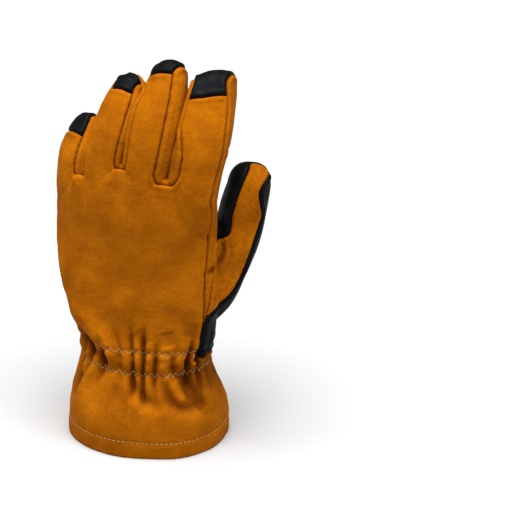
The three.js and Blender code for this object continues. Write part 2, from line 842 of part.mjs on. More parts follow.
// The palm's upper seam and the arc below it enclose the insert
function palmSeam(column) {
  return curve(PALM_SEAMS.map((row) => [
    HAND_LEAN + KNUCKLE_WIDTH * row.across,
    KNUCKLE_HEIGHT * row[column],
  ]), SEAM_STEPS);
}

function palmPart(column, far) {
  return (grow) => {
    const seam = palmSeam(column);
    return cutThrough([
      ...corners([[-REACH_ACROSS, seam[0].y]]),
      ...seam,
      ...corners([
        [REACH_ACROSS, seam[seam.length - 1].y],
        [REACH_ACROSS, far],
        [-REACH_ACROSS, far],
      ]),
    ], grow);
  };
}

// Finishes
function leather(name, colour, roughness) {
  return new THREE.MeshStandardMaterial({ name, color: colour, roughness, metalness: 0 });
}

const GOLD_LEATHER = leather("gold_leather", 0xc07a18, 0.8);
const GOLD_SUEDE = leather("gold_suede", 0xb56c12, 0.92);
const BLACK_LEATHER = leather("black_leather", 0x141414, 0.55);

// Parts the shell into its panels
let shell = body(OUTSIDE).subtract(body(INSIDE));
const pieces = [];

function take(name, finish, cutter) {
  const parts = split(shell, cutter);
  shell = parts.outside;
  pieces.push({ name, finish, solid: parts.inside });
}

take("cuff_front", GOLD_SUEDE, cuffFront);
take("side_little", GOLD_SUEDE, littleWall);
take("side_index", GOLD_SUEDE, indexWall);
WEBS.forEach((finger, i) => {
  const next = FINGERS[i + 1];
  take(`fourchette_${finger.name}_${next.name}`, GOLD_SUEDE, fourchette(finger, next));
});
take("back_shell", GOLD_LEATHER, backPanel);
const thumb = split(shell, thumbRegion);
shell = thumb.outside;
const thumbParts = split(thumb.inside, thumbBack);
pieces.push({ name: "thumb_back", finish: GOLD_SUEDE, solid: thumbParts.inside });
pieces.push({ name: "thumb_front", finish: BLACK_LEATHER, solid: thumbParts.outside });
take("palm_upper", BLACK_LEATHER, palmPart("upper", TOP));
take("palm_heel", BLACK_LEATHER, palmPart("lower", BOTTOM));
pieces.push({ name: "palm_insert", finish: BLACK_LEATHER, solid: shell });

// A panel is one piece of leather; a crumb that a seam leaves is dropped
function largest(whole) {
  return whole.decompose().reduce((best, part) => (part.volume() > best.volume() ? part : best));
}

// Bends each panel and stands the glove on the middle of its footprint
const meshes = pieces.map((piece) => {
  const { vertProperties, triVerts } = largest(piece.solid).getMesh();
  const geometry = new THREE.BufferGeometry();
  geometry.setAttribute("position", new THREE.Float32BufferAttribute(vertProperties, 3));
  bendGeometry(geometry);
  geometry.setIndex(Array.from(triVerts));
  const result = new THREE.Mesh(geometry, piece.finish);
  result.name = piece.name;
  return result;
});

const footprint = new THREE.Box3();
meshes.forEach((mesh) => {
  mesh.geometry.computeBoundingBox();
  footprint.union(mesh.geometry.boundingBox);
});
const middle = footprint.getCenter(new THREE.Vector3());

const glove = new THREE.Group();
glove.name = "firefighter_glove";
meshes.forEach((mesh) => {
  mesh.geometry.translate(-middle.x, -middle.y, -footprint.min.z);
  mesh.geometry.computeVertexNormals();
  glove.add(mesh);
});

export default glove;
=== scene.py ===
from functools import lru_cache, partial
from math import cos, pi, radians, sin

import bpy
import numpy as np
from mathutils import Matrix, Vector, kdtree, noise


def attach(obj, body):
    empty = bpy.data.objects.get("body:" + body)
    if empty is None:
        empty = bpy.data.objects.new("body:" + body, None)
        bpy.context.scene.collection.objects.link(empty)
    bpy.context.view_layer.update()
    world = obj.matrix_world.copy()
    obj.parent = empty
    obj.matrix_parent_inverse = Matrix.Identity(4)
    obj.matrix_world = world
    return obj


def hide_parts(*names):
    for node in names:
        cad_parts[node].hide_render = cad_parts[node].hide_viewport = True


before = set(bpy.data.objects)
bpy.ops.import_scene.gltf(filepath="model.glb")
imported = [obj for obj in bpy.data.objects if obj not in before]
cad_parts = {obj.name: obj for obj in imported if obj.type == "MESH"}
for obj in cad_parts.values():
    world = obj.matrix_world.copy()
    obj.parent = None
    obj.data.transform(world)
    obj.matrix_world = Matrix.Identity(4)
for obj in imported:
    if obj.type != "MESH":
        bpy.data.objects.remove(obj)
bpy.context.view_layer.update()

bl_info = {
    "name": "Firefighter glove",
    "version": (1, 0, 0),
    "blender": (4, 5, 0),
    "location": "3D View > Sidebar > Glove",
    "description": "Sewn leather work glove with its stage",
    "category": "Object",
}

MM = 0.001

# The straight pattern of the glove, in millimetres: x across, y from the back
# to the palm, z up from the hem
HEM_TURN = 12
HEM_FLAT = 0.01
CUFF_WIDTH = 111
CUFF_DEPTH = 97
WRIST_HEIGHT = 66
WRIST_WIDTH = 92
WRIST_DEPTH = 62
CUFF_SEAM_OFFSET = 10
KNUCKLE_HEIGHT = 172
KNUCKLE_DEPTH = 35
HAND_LEAN = -11.5
WEB_DROP = 3
SIDE_WIDTH = 17
HALF_SIDE = SIDE_WIDTH / 2
SIDE_TIP_SHARE = 0.72
SIDE_TIP_INSET = 6
SIDE_TIP_ROUND = 7
CROTCH_ROUND = 12
CROTCH_CORNER = 5
SHARP_CORNER = 0.01
LITTLE_SEAM = 8
LITTLE_FOOT_SHARE = 0.6
LITTLE_WALL_DEPTH = 7
JUNCTION_HEIGHT = 93
INDEX_FOOT = 6.5
INDEX_FOOT_START = 0.15
CROTCH_DEPTH = 9
CROTCH_REACH = 14
BACK_BOW = 2
BOW_SHARE = 0.56
THUMB_WIDTH = 32
THUMB_DEPTH = 29
THUMB_CROTCH_HEIGHT = 145
THUMB_CROTCH_ACROSS = 49.6
THUMB_GAP_LEAN = 0.2
WING_LAP = 6
WING_WIDTH = 15
WING_RISE = 34
WING_DROP = 8
LEAN_POWER = 1.4
CUFF_POWER = 2.15
HAND_POWER = 2.6
DIGIT_POWER = 2.3
TIP_POWER = 0.7
PATTERN_TOP = 330
PATTERN_SIDE = 200

# How finely the pattern's forms are drawn
LOFT_SIDES = 120
LOFT_STEP = 2
TOP_RINGS = 14
DIGIT_RINGS = 44
TIP_RINGS = 16
CURVE_STEPS = 200
BALL_STEPS = 30
STRIP_STEPS = 72
FOLD_STEPS = 12
RELAX_ROUNDS = 10
RELAX_STEPS = (0.5, -0.52)
SNAP = 0.08
TINY = 1e-9
NEARLY_NONE = 1e-6

# The bend that arches the hand and curls the fingers
ARCH_RADIUS = 110
ARCH_LIMIT = 62
ARCH_START = 75
ARCH_FULL = 160
CURL_HOLD = 19
CURL_STEP = 2
KNUCKLE_BEND = 13
KNUCKLE_REACH = 28
FRAME_SHIFT = (3.3665, 3.8519)

# lap and far_lap: how far the side walls reach round to the back, on the
# thumb's side and on the other
FINGER_COLUMNS = (
    "name", "width", "depth", "length", "lean", "full", "web", "wrap", "lap", "far_lap", "bends")
FINGER_ROWS = (
    ("little", 25, 27, 54, -5.5, 0.86, 19, 17, 2, 0, (27, 14)),
    ("ring", 27.5, 31, 92, 1, 1.0, 33, 15.5, 4.7, 4, (22, 14)),
    ("middle", 30.5, 32, 107, 14, 1.04, 27, 13, 7, 0, (19, 12)),
    ("index", 38, 35, 99, 27, 0.95, 0, 20.5, 7.5, 2.7, (17, 12)),
)
# Where a finger bends: share of its length, and reach of the bend
JOINTS = ((0.5, 0.36), (0.75, 0.28))
# Tables of sections: the first row is where, the others what
FINGER_SECTIONS = np.array((
    (-0.12, 0.1, 0.3, 0.5, 0.72, 0.88),
    (0.9, 0.97, 1.04, 1.11, 1.14, 1.08),
    (0.84, 1.04, 1.04, 1.0, 0.94, 0.87),
))
CUFF_SECTIONS = np.array((
    (0.0, 0.19, 0.45, 0.7, 0.88, 1.0),
    (1.0, 1.0, 0.86, 0.42, 0.09, 0.0),
))
HAND_SECTIONS = np.array((
    (0.0, 0.14, 0.33, 0.55, 0.78, 1.0),
    (0.0, 0.26, 0.55, 0.76, 0.94, 1.0),
    (0.0, 0.3, 0.62, 0.82, 0.93, 1.0),
    (0.0, 0.1, 0.42, 0.8, 0.97, 1.0),
))
HAND_TOP = np.array((
    (0.0, 0.45, 0.85, 1.0),
    (1.0, 1.0, 0.99, 0.96),
    (1.0, 0.96, 0.82, 0.5),
))
THUMB_LINE = np.array(((20, 9, 84), (41, 14, 110), (66, 18, 144), (75, 18, 170), (81, 16, 198)), float)
THUMB_SECTIONS = np.array((
    (0.0, 0.25, 0.5, 0.75, 0.87),
    (1.1, 1.3, 1.1, 1.03, 0.95),
    (0.75, 0.95, 1.05, 1.02, 0.9),
))
# Seam round the ball of the thumb, as shares across and up
BALL_SEAM = ((1.0, 1.0), (0.71, 0.87), (0.38, 0.61), (0.22, 0.32), (0.18, -0.08))
# Outline of the thumb's back leather: share of the length, side in thumb widths
THUMB_STRIP = (
    (0.98, 0.46), (1.05, 0.30), (1.06, 0.10), (1.01, -0.05), (0.94, -0.20), (0.87, -0.29),
    (0.77, -0.34), (0.70, -0.35), (0.63, -0.31), (0.58, -0.30), (0.54, -0.40), (0.44, -0.62),
    (0.30, -0.69), (0.16, -0.58), (0.14, -0.10), (0.19, 0.27), (0.29, 0.44), (0.38, 0.46),
    (0.50, 0.37), (0.62, 0.29), (0.68, 0.30), (0.73, 0.32), (0.78, 0.24), (0.84, 0.15),
    (0.89, 0.17), (0.94, 0.32),
)
# Where the back leather ends beside the thumb: height, and palmward
THUMB_SIDE_SEAM = np.array((
    (60, 66, 75, 86, 98, 112, 130, 155, 173, 190),
    (-20, -18.5, -16.2, -14, -12.9, -12.2, -11.3, -11.2, -12.9, -15.2),
))
# Seams across the palm: across, upper height, lower height, as shares
PALM_SEAMS = np.array((
    (-0.5, -0.15, 0.18, 0.51),
    (1.07, 1.047, 1.006, 0.959),
    (0.913, 0.872, 0.884, 0.936),
))

# The camera's view of the glove, and the photograph's scale
VIEW_AZIMUTH = 15
VIEW_ELEVATION = 27
PIXEL = 0.70
FRAME_PIXELS = 512
ORIGIN_PIXEL = (154, 426)
CAMERA_AWAY = 1.5

# Lamps with their places, sizes and powers, the light from above, and the floor
LAMPS = (("left_light", (-1.1, -0.12, 0.4), 0.4, 1.8), ("right_light", (1.0, -0.4, 0.75), 0.4, 3.0))
LAMPS_AIM = (0, 0, 0.12)
SUN_SPREAD, SUN_POWER, SUN_FROM = 45, 6.3, (-0.02, -0.10, 1.3)
WORLD_LIGHT = 0.03
FLOOR_HALF = 3
FLOOR_TONES = (0.47, 0.485)

# Folds of the back as they are seen in that view: points in millimetres to the
# right of and above the origin; a positive depth is a valley, a negative a ridge
FOLDS = (
    ("wrist_roll", -4.2, 6.5, ((-60, 86), (-48, 74), (-35, 58), (-22, 45))),
    ("under_roll", 4.6, 3.4, ((-60, 76), (-52, 66), (-42, 53), (-30, 42))),
    ("hollow_left", 1.9, 6.0, ((-14, 66), (-6, 54))),
    ("hollow_middle", 2.0, 6.0, ((8, 66), (12, 54))),
    ("hollow_right", 1.6, 6.0, ((28, 72), (25, 60))),
    ("swell", -1.2, 9.0, ((-34, 84), (2, 86), (40, 80))),
    ("cuff_fold_left", 3.0, 3.6, ((-50, 40), (-56, 30), (-60, 20))),
    ("cuff_ridge_left", -1.5, 3.6, ((-42, 42), (-49, 30), (-52, 22))),
    ("cuff_fold_middle", 3.2, 4.6, ((-18, 37), (-14, 27), (-8, 19), (2, 13))),
    ("cuff_fold_deep", 2.8, 4.2, ((3, 37), (8, 26), (13, 17), (23, 12), (36, 15))),
    ("cuff_ridge_middle", -1.8, 5.0, ((-24, 36), (-19, 22), (-10, 10))),
    ("cuff_ridge_right", -2.6, 4.2, ((6, 38), (14, 24), (22, 14))),
    ("cuff_fold_right", 3.4, 4.2, ((18, 38), (28, 24), (38, 10))),
    ("thumb_fold", 3.0, 2.0, ((36, 105), (44, 112), (48.5, 121), (47.5, 131))),
    ("thumb_crease", 1.8, 1.8, ((50, 108), (53.5, 118), (52.5, 129))),
    ("thumb_swell", -1.4, 2.4, ((46, 107), (51, 116), (50.5, 130))),
)

# The wrist's pleats vary by waves round the back: turns, size and start
PLEAT_WANDER = ((1.7, 0.25, 0.6), (3.3, 0.14, 2.1))
PLEAT_LENGTHS = ((2.3, 0.35, 1.0),)
PLEAT_DEPTHS = ((4.1, 0.3, 0.4),)
PLEAT_SHARPNESS = 1.9
PLEAT_SIDES = 7
PUFF = 0.24
SWAY, SWAY_HEIGHT, SWAY_TURNS, SWAY_REACH = 0.16, 9, 14, 15
THREAD_PULL, PULL_REACH = 0.3, 2.2
WAIST_HEIGHT, WAIST_REACH, WAIST_START, WAIST_RAMP = 52, 15, 15, 20

# How facing finger walls swell: what is added to half the gap, and at most
LITTLE_SWELL = (3.4, 3.6)
FINGER_SWELL = (0.7, 3.0)
SWELL_BELOW, SWELL_RAMP, SWELL_TIP, SWELL_SIDE = 20, 14, 25, 0.9

# Unevenness of the leather: height, size across and seed
UNEVENNESS = ((0.9, 26, 0), (0.28, 9, 1))
CREASES, CREASE_REACH = (1.1, 5, 3), 13
HEM_DENT, HEM_DENT_REACH = 0.5, 1.3
FOLD_FACING = 2.5
FOLD_END, FOLD_TAPER = 0.35, 4
NOISE_SHIFT = (17.3, 5.1, 9.7)

# Edges of a panel
FLOOR_REACH = 0.3
HEM_ROUND = 1.1
HEM_INNER_SHARE = 0.8
ROLL_SHARE = 0.95
LIP_PLACE = 1.6
PUCKER, PUCKER_REACH = (0.22, 4.2, 2), 4
EDGE_LIMIT = 10
# Depth of a hollow at which its painted shade is darkest
HOLLOW_SHADE_DEPTH = 5

# Rows of stitches: distance from the panel's seam, or the zigzag's pitch and reach
ZIGZAG = (4.6, 1.5)
ZIGZAG_STITCH = (0.0013, 0.0015, 0.75)
GATHER_LIMIT = 2
PALM_ROWS = (("palm_upper", (2.2, 5.0)), ("palm_heel", (2.4,)))
THUMB_ROWS = (2.4, 5.2)
THUMB_ROWS_FRONT, THUMB_ROWS_HEIGHTS = 4, (84, 138)
THREAD_RISE = 0.18
SHORTEST_LINE = 6

# The leather that replaces each solid, and its material's name
SKINS = {
    "back_shell": ("back_leather", "gold_leather"),
    "cuff_front": ("cuff_front_leather", "gold_suede"),
    "side_little": ("little_side_leather", "gold_suede"),
    "side_index": ("index_side_leather", "gold_suede"),
    "fourchette_little_ring": ("little_ring_strip", "gold_suede"),
    "fourchette_ring_middle": ("ring_middle_strip", "gold_suede"),
    "fourchette_middle_index": ("middle_index_strip", "gold_suede"),
    "thumb_back": ("thumb_back_leather", "gold_suede"),
    "thumb_front": ("thumb_front_leather", "black_leather"),
    "palm_upper": ("palm_upper_leather", "black_leather"),
    "palm_insert": ("palm_insert_leather", "black_leather"),
    "palm_heel": ("palm_heel_leather", "black_leather"),
}


def add_object(name, data):
    thing = bpy.data.objects.new(name, data)
    bpy.context.scene.collection.objects.link(thing)
    return thing


def mix(low, high, share):
    return low + (high - low) * share


def smooth(share):
    t = np.clip(share, 0, 1)
    return t * t * (3 - 2 * t)


def read_table(table, row, at):
    """A smooth value from a table of sections"""
    keys, values = table[0], table[row]
    at = np.clip(at, keys[0], keys[-1])
    i = np.clip(np.searchsorted(keys, at) - 1, 0, len(keys) - 2)
    slopes = np.empty(len(keys))
    slopes[1:-1] = (values[2:] - values[:-2]) / (keys[2:] - keys[:-2])
    slopes[0] = (values[1] - values[0]) / (keys[1] - keys[0])
    slopes[-1] = (values[-1] - values[-2]) / (keys[-1] - keys[-2])
    span = keys[i + 1] - keys[i]
    t = (at - keys[i]) / span
    return ((2 * t**3 - 3 * t**2 + 1) * values[i] + (t**3 - 2 * t**2 + t) * slopes[i] * span
            + (3 * t**2 - 2 * t**3) * values[i + 1] + (t**3 - t**2) * slopes[i + 1] * span)


def lay_fingers():
    fingers = [dict(zip(FINGER_COLUMNS, row)) for row in FINGER_ROWS]
    width = sum(finger["width"] for finger in fingers)
    edge = HAND_LEAN - width / 2
    for finger in fingers:
        finger["base"] = edge + finger["width"] / 2
        edge += finger["width"]
        finger["web_across"] = edge
        finger["tip"] = KNUCKLE_HEIGHT + finger["length"]
        finger["web_height"] = KNUCKLE_HEIGHT + finger["web"]
    return fingers, width


FINGERS, KNUCKLE_WIDTH = lay_fingers()
LITTLE, INDEX = FINGERS[0], FINGERS[3]


def finger_middle(finger, z):
    share = np.maximum(0, (z - KNUCKLE_HEIGHT) / finger["length"])
    return finger["base"] + finger["lean"] * share ** LEAN_POWER


def finger_of(x, z):
    """Which finger a point belongs to, counted from the little finger"""
    place = np.zeros(np.shape(x), int)
    for near, following in zip(FINGERS, FINGERS[1:]):
        left = finger_middle(near, z) + near["width"] / 2
        right = finger_middle(following, z) - following["width"] / 2
        place += x >= (left + right) / 2
    return place


@lru_cache(maxsize=None)
def curl_table(order):
    finger = FINGERS[order]
    heights = np.arange(KNUCKLE_HEIGHT / 2, KNUCKLE_HEIGHT * 2, CURL_STEP)
    here = heights + CURL_STEP / 2
    angle = radians(KNUCKLE_BEND) * smooth((here - KNUCKLE_HEIGHT) / KNUCKLE_REACH + 0.5)
    for (at, reach), turn in zip(JOINTS, finger["bends"]):
        middle = KNUCKLE_HEIGHT + at * finger["length"]
        angle = angle + radians(turn) * smooth((here - middle) / (reach * finger["length"]) + 0.5)
    palm = np.concatenate(([0], np.cumsum(np.sin(angle) * CURL_STEP)[:-1]))
    up = heights[0] + np.concatenate(([0], np.cumsum(np.cos(angle) * CURL_STEP)[:-1]))
    turned = np.concatenate(([0], angle[:-1]))
    return heights, palm, up, turned


def bend(points):
    """Moves points of the straight pattern to where they are on the glove"""
    x, y, z = points.T
    order = finger_of(x, z)
    palm, up, angle = np.zeros_like(z), z.copy(), np.zeros_like(z)
    for k in range(len(FINGERS)):
        heights, palms, ups, angles = curl_table(k)
        mine = (order == k) & (z > heights[0])
        palm[mine] = np.interp(z[mine], heights, palms)
        up[mine] = np.interp(z[mine], heights, ups)
        angle[mine] = np.interp(z[mine], heights, angles)
    arch = np.maximum(NEARLY_NONE, smooth((z - ARCH_START) / (ARCH_FULL - ARCH_START)) / ARCH_RADIUS)
    held = np.clip(x, -ARCH_LIMIT, ARCH_LIMIT)
    turn = held * arch
    rest = x - held
    near = np.clip(y, -CURL_HOLD, CURL_HOLD)
    out = palm + near * np.cos(angle) + y - near
    return np.stack((
        np.sin(turn) / arch + rest * np.cos(turn) - out * np.sin(turn) - FRAME_SHIFT[0],
        (1 - np.cos(turn)) / arch + rest * np.sin(turn) + out * np.cos(turn) - FRAME_SHIFT[1],
        up - near * np.sin(angle),
    ), axis=1)


def ring(angles, a, b, power):
    c, s = np.cos(angles), np.sin(angles)
    return (a * np.sign(c) * np.abs(c) ** (2 / power), b * np.sign(s) * np.abs(s) ** (2 / power))


def hand_section(z):
    """Half width, half depth, middle and roundness of hand and cuff"""
    flare = read_table(CUFF_SECTIONS, 1, z / WRIST_HEIGHT)
    up = np.clip((z - WRIST_HEIGHT) / (KNUCKLE_HEIGHT - WRIST_HEIGHT), 0, 1)
    low = z <= WRIST_HEIGHT
    spread = read_table(HAND_SECTIONS, 1, up)
    thin = read_table(HAND_SECTIONS, 2, up)
    a = np.where(low, mix(WRIST_WIDTH, CUFF_WIDTH, flare), mix(WRIST_WIDTH, KNUCKLE_WIDTH, spread)) / 2
    b = np.where(low, mix(WRIST_DEPTH, CUFF_DEPTH, flare), mix(WRIST_DEPTH, KNUCKLE_DEPTH, thin)) / 2
    middle = HAND_LEAN * read_table(HAND_SECTIONS, 3, up)
    return a, b, middle, mix(CUFF_POWER, HAND_POWER, up)


def web_line(x):
    """Height of the hand's top edge"""
    across = [finger["web_across"] for finger in FINGERS[:3]]
    height = [finger["web_height"] - WEB_DROP for finger in FINGERS[:3]]
    across = [LITTLE["base"], *across, INDEX["base"]]
    height = [height[0] - 2 * WEB_DROP, *height, height[2] - 2 * WEB_DROP]
    return read_table(np.array((across, height)), 1, x)


def hand_rings():
    angles = np.arange(LOFT_SIDES) * 2 * pi / LOFT_SIDES
    rings = []
    for z in np.arange(-4 * LOFT_STEP, KNUCKLE_HEIGHT + 1, LOFT_STEP):
        a, b, middle, power = hand_section(max(0, z))
        x, y = ring(angles, a, b, power)
        rings.append(np.stack((middle + x, y, np.full_like(x, z)), axis=1))
    a, b, middle, power = hand_section(KNUCKLE_HEIGHT)
    for up in np.linspace(0, 1, TOP_RINGS)[1:]:
        wide, deep = read_table(HAND_TOP, 1, up), read_table(HAND_TOP, 2, up)
        x, y = ring(angles, a * wide, b * deep, power)
        rings.append(np.stack((middle + x, y, mix(KNUCKLE_HEIGHT, web_line(middle + x), up)), axis=1))
    return rings


def digit_rings(place, sections, width, full, depth):
    angles = np.arange(LOFT_SIDES // 2) * 4 * pi / LOFT_SIDES
    first, last = sections[0][0], sections[0][-1]
    rows = [(at, 1) for at in np.linspace(first, last, DIGIT_RINGS)]
    for turn in np.linspace(0, pi / 2, TIP_RINGS)[1:-1]:
        rows.append((mix(last, 1, sin(turn)), cos(turn) ** TIP_POWER))
    rings = []
    for at, closing in rows:
        wide = read_table(sections, 1, at) * width * mix(1, full, smooth(at)) / 2
        deep = read_table(sections, 2, at) * depth / 2
        x, y = ring(angles, wide * closing, deep * closing, DIGIT_POWER)
        rings.append(place(at, x, y))
    return rings


def finger_place(finger):
    def place(at, x, y):
        z = KNUCKLE_HEIGHT + finger["length"] * at
        return np.stack((finger_middle(finger, z) + x, y, np.full_like(x, z)), axis=1)
    return place


def smooth_curve(points, count):
    """Points on a smooth line through the given ones"""
    points = np.asarray(points, float)
    padded = np.vstack((points[0], points, points[-1]))
    along = np.linspace(0, len(points) - 1, count + 1)
    i = np.minimum(along.astype(int), len(points) - 2)
    t = (along - i)[:, None]
    p0, p1, p2, p3 = (padded[i + k] for k in range(4))
    return ((2 * p1) + (p2 - p0) * t + (2 * p0 - 5 * p1 + 4 * p2 - p3) * t**2
            + (3 * p1 - p0 - 3 * p2 + p3) * t**3) / 2


@lru_cache(maxsize=None)
def thumb_curve():
    line = smooth_curve(THUMB_LINE, CURVE_STEPS)
    steps = np.linalg.norm(np.diff(line, axis=0), axis=1)
    share = np.concatenate(([0], np.cumsum(steps))) / steps.sum()
    tangents = np.gradient(line, axis=0)
    return line, share, tangents / np.linalg.norm(tangents, axis=1)[:, None], steps.sum()


def thumb_point(at):
    line, share, tangents, _ = thumb_curve()
    point = np.array([np.interp(at, share, line[:, k]) for k in range(3)])
    along = np.array([np.interp(at, share, tangents[:, k]) for k in range(3)])
    return point, along / np.linalg.norm(along)


def thumb_place(at, x, y):
    point, along = thumb_point(at)
    across = np.array((along[2], 0, -along[0]))
    across /= np.linalg.norm(across)
    palm = np.cross(along, across)
    return point + x[:, None] * across + y[:, None] * palm


def beside_thumb(at, side):
    held = min(1, at)
    point, along = thumb_point(held)
    point = point + along * (at - held) * thumb_curve()[3]
    across = np.array((along[2], -along[0]))
    across /= np.linalg.norm(across)
    return (point[0] + across[0] * side * THUMB_WIDTH, point[2] + across[1] * side * THUMB_WIDTH)


def join_rings(rings, ridge=False):
    """Vertices and faces of a closed form through rings of equal count"""
    count = len(rings[0])
    points = np.vstack(rings)
    faces = []
    for r in range(len(rings) - 1):
        for k in range(count):
            following = (k + 1) % count
            low, high = r * count, (r + 1) * count
            faces.append((low + k, low + following, high + following, high + k))
    faces.append(tuple(range(count - 1, -1, -1)))
    top = (len(rings) - 1) * count
    if ridge:
        for k in range(count // 2):
            a, b = top + k, top + k + 1
            c, d = top + (count - k - 1) % count, top + (count - k) % count
            corner = [a, b, c, d]
            corner = [v for i, v in enumerate(corner) if v not in corner[:i]]
            if len(corner) > 2:
                faces.append(tuple(corner))
    else:
        faces.append(tuple(range(top, top + count)))
    return points, faces


def mesh_arrays(mesh):
    points = np.empty(len(mesh.vertices) * 3)
    mesh.vertices.foreach_get("co", points)
    mesh.calc_loop_triangles()
    triangles = np.empty(len(mesh.loop_triangles) * 3, np.int32)
    mesh.loop_triangles.foreach_get("vertices", triangles)
    return points.reshape(-1, 3), triangles.reshape(-1, 3).astype(np.int64)


def relax(points, triangles, rounds):
    """Evens out a surface without shrinking it"""
    a = triangles[:, (0, 1, 2)].ravel()
    b = triangles[:, (1, 2, 0)].ravel()
    count = np.bincount(a, minlength=len(points))[:, None]
    for k in range(rounds):
        total = np.stack([np.bincount(a, points[b, j], len(points)) for j in range(3)], axis=1)
        step = total / count - points
        points = points + step * RELAX_STEPS[k % 2]
    return points


def surface_normals(points, triangles):
    p = points[triangles]
    face = np.cross(p[:, 1] - p[:, 0], p[:, 2] - p[:, 0])
    total = np.zeros_like(points)
    for k in range(3):
        for j in range(3):
            total[:, j] += np.bincount(triangles[:, k], face[:, j], len(points))
    return total / np.maximum(TINY, np.linalg.norm(total, axis=1))[:, None]


def back_seam(x, z):
    share = (z - WRIST_HEIGHT) / (KNUCKLE_HEIGHT - WRIST_HEIGHT)
    far = -mix(LITTLE_SEAM, HALF_SIDE, smooth(share * 2))
    return np.where(x < HAND_LEAN, far, read_table(THUMB_SIDE_SEAM, 1, z))


def thumb_gap(z):
    return THUMB_CROTCH_ACROSS + THUMB_GAP_LEAN * (z - THUMB_CROTCH_HEIGHT)


def wall_foot(z):
    share = (z - JUNCTION_HEIGHT) / (THUMB_CROTCH_HEIGHT - JUNCTION_HEIGHT)
    return INDEX_FOOT * smooth(share + INDEX_FOOT_START)


def rounded_corner(a, b, radius):
    """The lesser of two distances, with the corner between them rounded"""
    corner = (a < radius) & (b < radius)
    return np.where(corner, radius - np.hypot(radius - a, radius - b), np.minimum(a, b))


def wall(y, z, finger, start, lap):
    """Side wall of a finger: positive inside its outline"""
    turned = 1 - np.clip((z - start) / CROTCH_ROUND, 0, 1)
    y = y + lap * np.clip(-y / HALF_SIDE, 0, 1) * np.sqrt(1 - turned ** 2)
    tip_half = HALF_SIDE * SIDE_TIP_SHARE
    shoulder = finger["tip"] - SIDE_TIP_INSET - SIDE_TIP_ROUND
    half = mix(HALF_SIDE, tip_half, np.clip((z - start) / (shoulder - start), 0, 1))
    corner = CROTCH_CORNER if start > KNUCKLE_HEIGHT else SHARP_CORNER
    body = rounded_corner(half - np.abs(y), z - start, corner)
    rounded = tip_half * (1 - np.hypot(np.maximum(0, z - shoulder) / SIDE_TIP_ROUND, y / tip_half))
    return np.where(z > shoulder, rounded, body)


def to_segment(x, z, start, end):
    """Distance to a segment, and how far along it the nearest point lies"""
    (ax, az), (bx, bz) = start, end
    dx, dz = bx - ax, bz - az
    t = np.clip(((x - ax) * dx + (z - az) * dz) / max(TINY, dx * dx + dz * dz), 0, 1)
    return np.hypot(x - ax - t * dx, z - az - t * dz), t


def outline_distance(x, z, outline):
    """Distance to a closed outline, positive inside"""
    nearest = np.full(x.shape, np.inf)
    inside = np.zeros(x.shape, bool)
    for (ax, az), (bx, bz) in zip(outline, np.roll(outline, -1, axis=0)):
        nearest = np.minimum(nearest, to_segment(x, z, (ax, az), (bx, bz))[0])
        rise = bz - az if abs(bz - az) > TINY else TINY
        inside ^= ((az > z) != (bz > z)) & (x < ax + (z - az) * (bx - ax) / rise)
    return np.where(inside, nearest, -nearest)


def cuff_field(x, y, z):
    return np.minimum(y - CUFF_SEAM_OFFSET, WRIST_HEIGHT - z)


def little_field(x, y, z):
    share = (z - WRIST_HEIGHT) / (KNUCKLE_HEIGHT - WRIST_HEIGHT)
    front = HALF_SIDE * mix(LITTLE_FOOT_SHARE, 1, share)
    low = np.minimum(np.minimum(y - back_seam(x, z), front - y), z - WRIST_HEIGHT)
    inside = LITTLE["base"] + LITTLE_WALL_DEPTH + LITTLE["lean"] * (z - KNUCKLE_HEIGHT) / LITTLE["length"]
    return np.minimum(np.where(z < KNUCKLE_HEIGHT, low, wall(y, z, LITTLE, KNUCKLE_HEIGHT, 0)), inside - x)


def index_field(x, y, z):
    lap = -HALF_SIDE - read_table(THUMB_SIDE_SEAM, 1, z)
    lap = mix(lap, INDEX["lap"], smooth((z - KNUCKLE_HEIGHT) / CROTCH_ROUND))
    upper = np.minimum(wall(y + lap * (y < 0), z, INDEX, THUMB_CROTCH_HEIGHT - 1, 0), thumb_gap(z) - x)
    upper = np.minimum(upper, x - finger_middle(INDEX, z))
    lower = np.minimum(y - back_seam(x, z), back_seam(x, z) + wall_foot(z) - y)
    lower = np.minimum(np.minimum(lower, z - JUNCTION_HEIGHT), THUMB_CROTCH_HEIGHT - z)
    return np.maximum(upper, np.minimum(lower, x - HAND_LEAN))


def strip_field(near, following):
    def field(x, y, z):
        start = near["web_height"] - CROTCH_DEPTH
        crotch = near["web_across"]
        left = np.minimum(wall(y, z, near, start, near["lap"]), crotch + CROTCH_REACH - x)
        right = np.minimum(wall(y, z, following, start, following["far_lap"]), x - crotch + CROTCH_REACH)
        lane = np.minimum(x - finger_middle(near, z), finger_middle(following, z) - x)
        return np.minimum(np.maximum(left, right), lane)
    return field


def wrap_field(x, z):
    """How far a point lies below the upper edge of the back leather"""
    order = finger_of(x, z)
    below = np.zeros_like(z)
    for k, finger in enumerate(FINGERS):
        height = finger["tip"] - finger["wrap"]
        t = (x - finger_middle(finger, height)) / (finger["width"] * BOW_SHARE)
        edge = height - BACK_BOW * np.minimum(1, t * t)
        below = np.where(order == k, edge - z, below)
    return below


def back_field(x, y, z):
    upper = mix(-HALF_SIDE, -HALF_SIDE / 2, (z - THUMB_CROTCH_HEIGHT) / (PATTERN_TOP - THUMB_CROTCH_HEIGHT))
    limit = np.where(z < JUNCTION_HEIGHT, back_seam(x, z), back_seam(x, z) + wall_foot(z) / 2)
    limit = np.where(z > THUMB_CROTCH_HEIGHT, upper + INDEX_FOOT / 2, limit)
    limit = np.where(z < WRIST_HEIGHT, CUFF_SEAM_OFFSET + 1, limit)
    limit = np.where((x < HAND_LEAN) & (z > THUMB_CROTCH_HEIGHT), HALF_SIDE, limit)
    return np.minimum(wrap_field(x, z), limit - y)


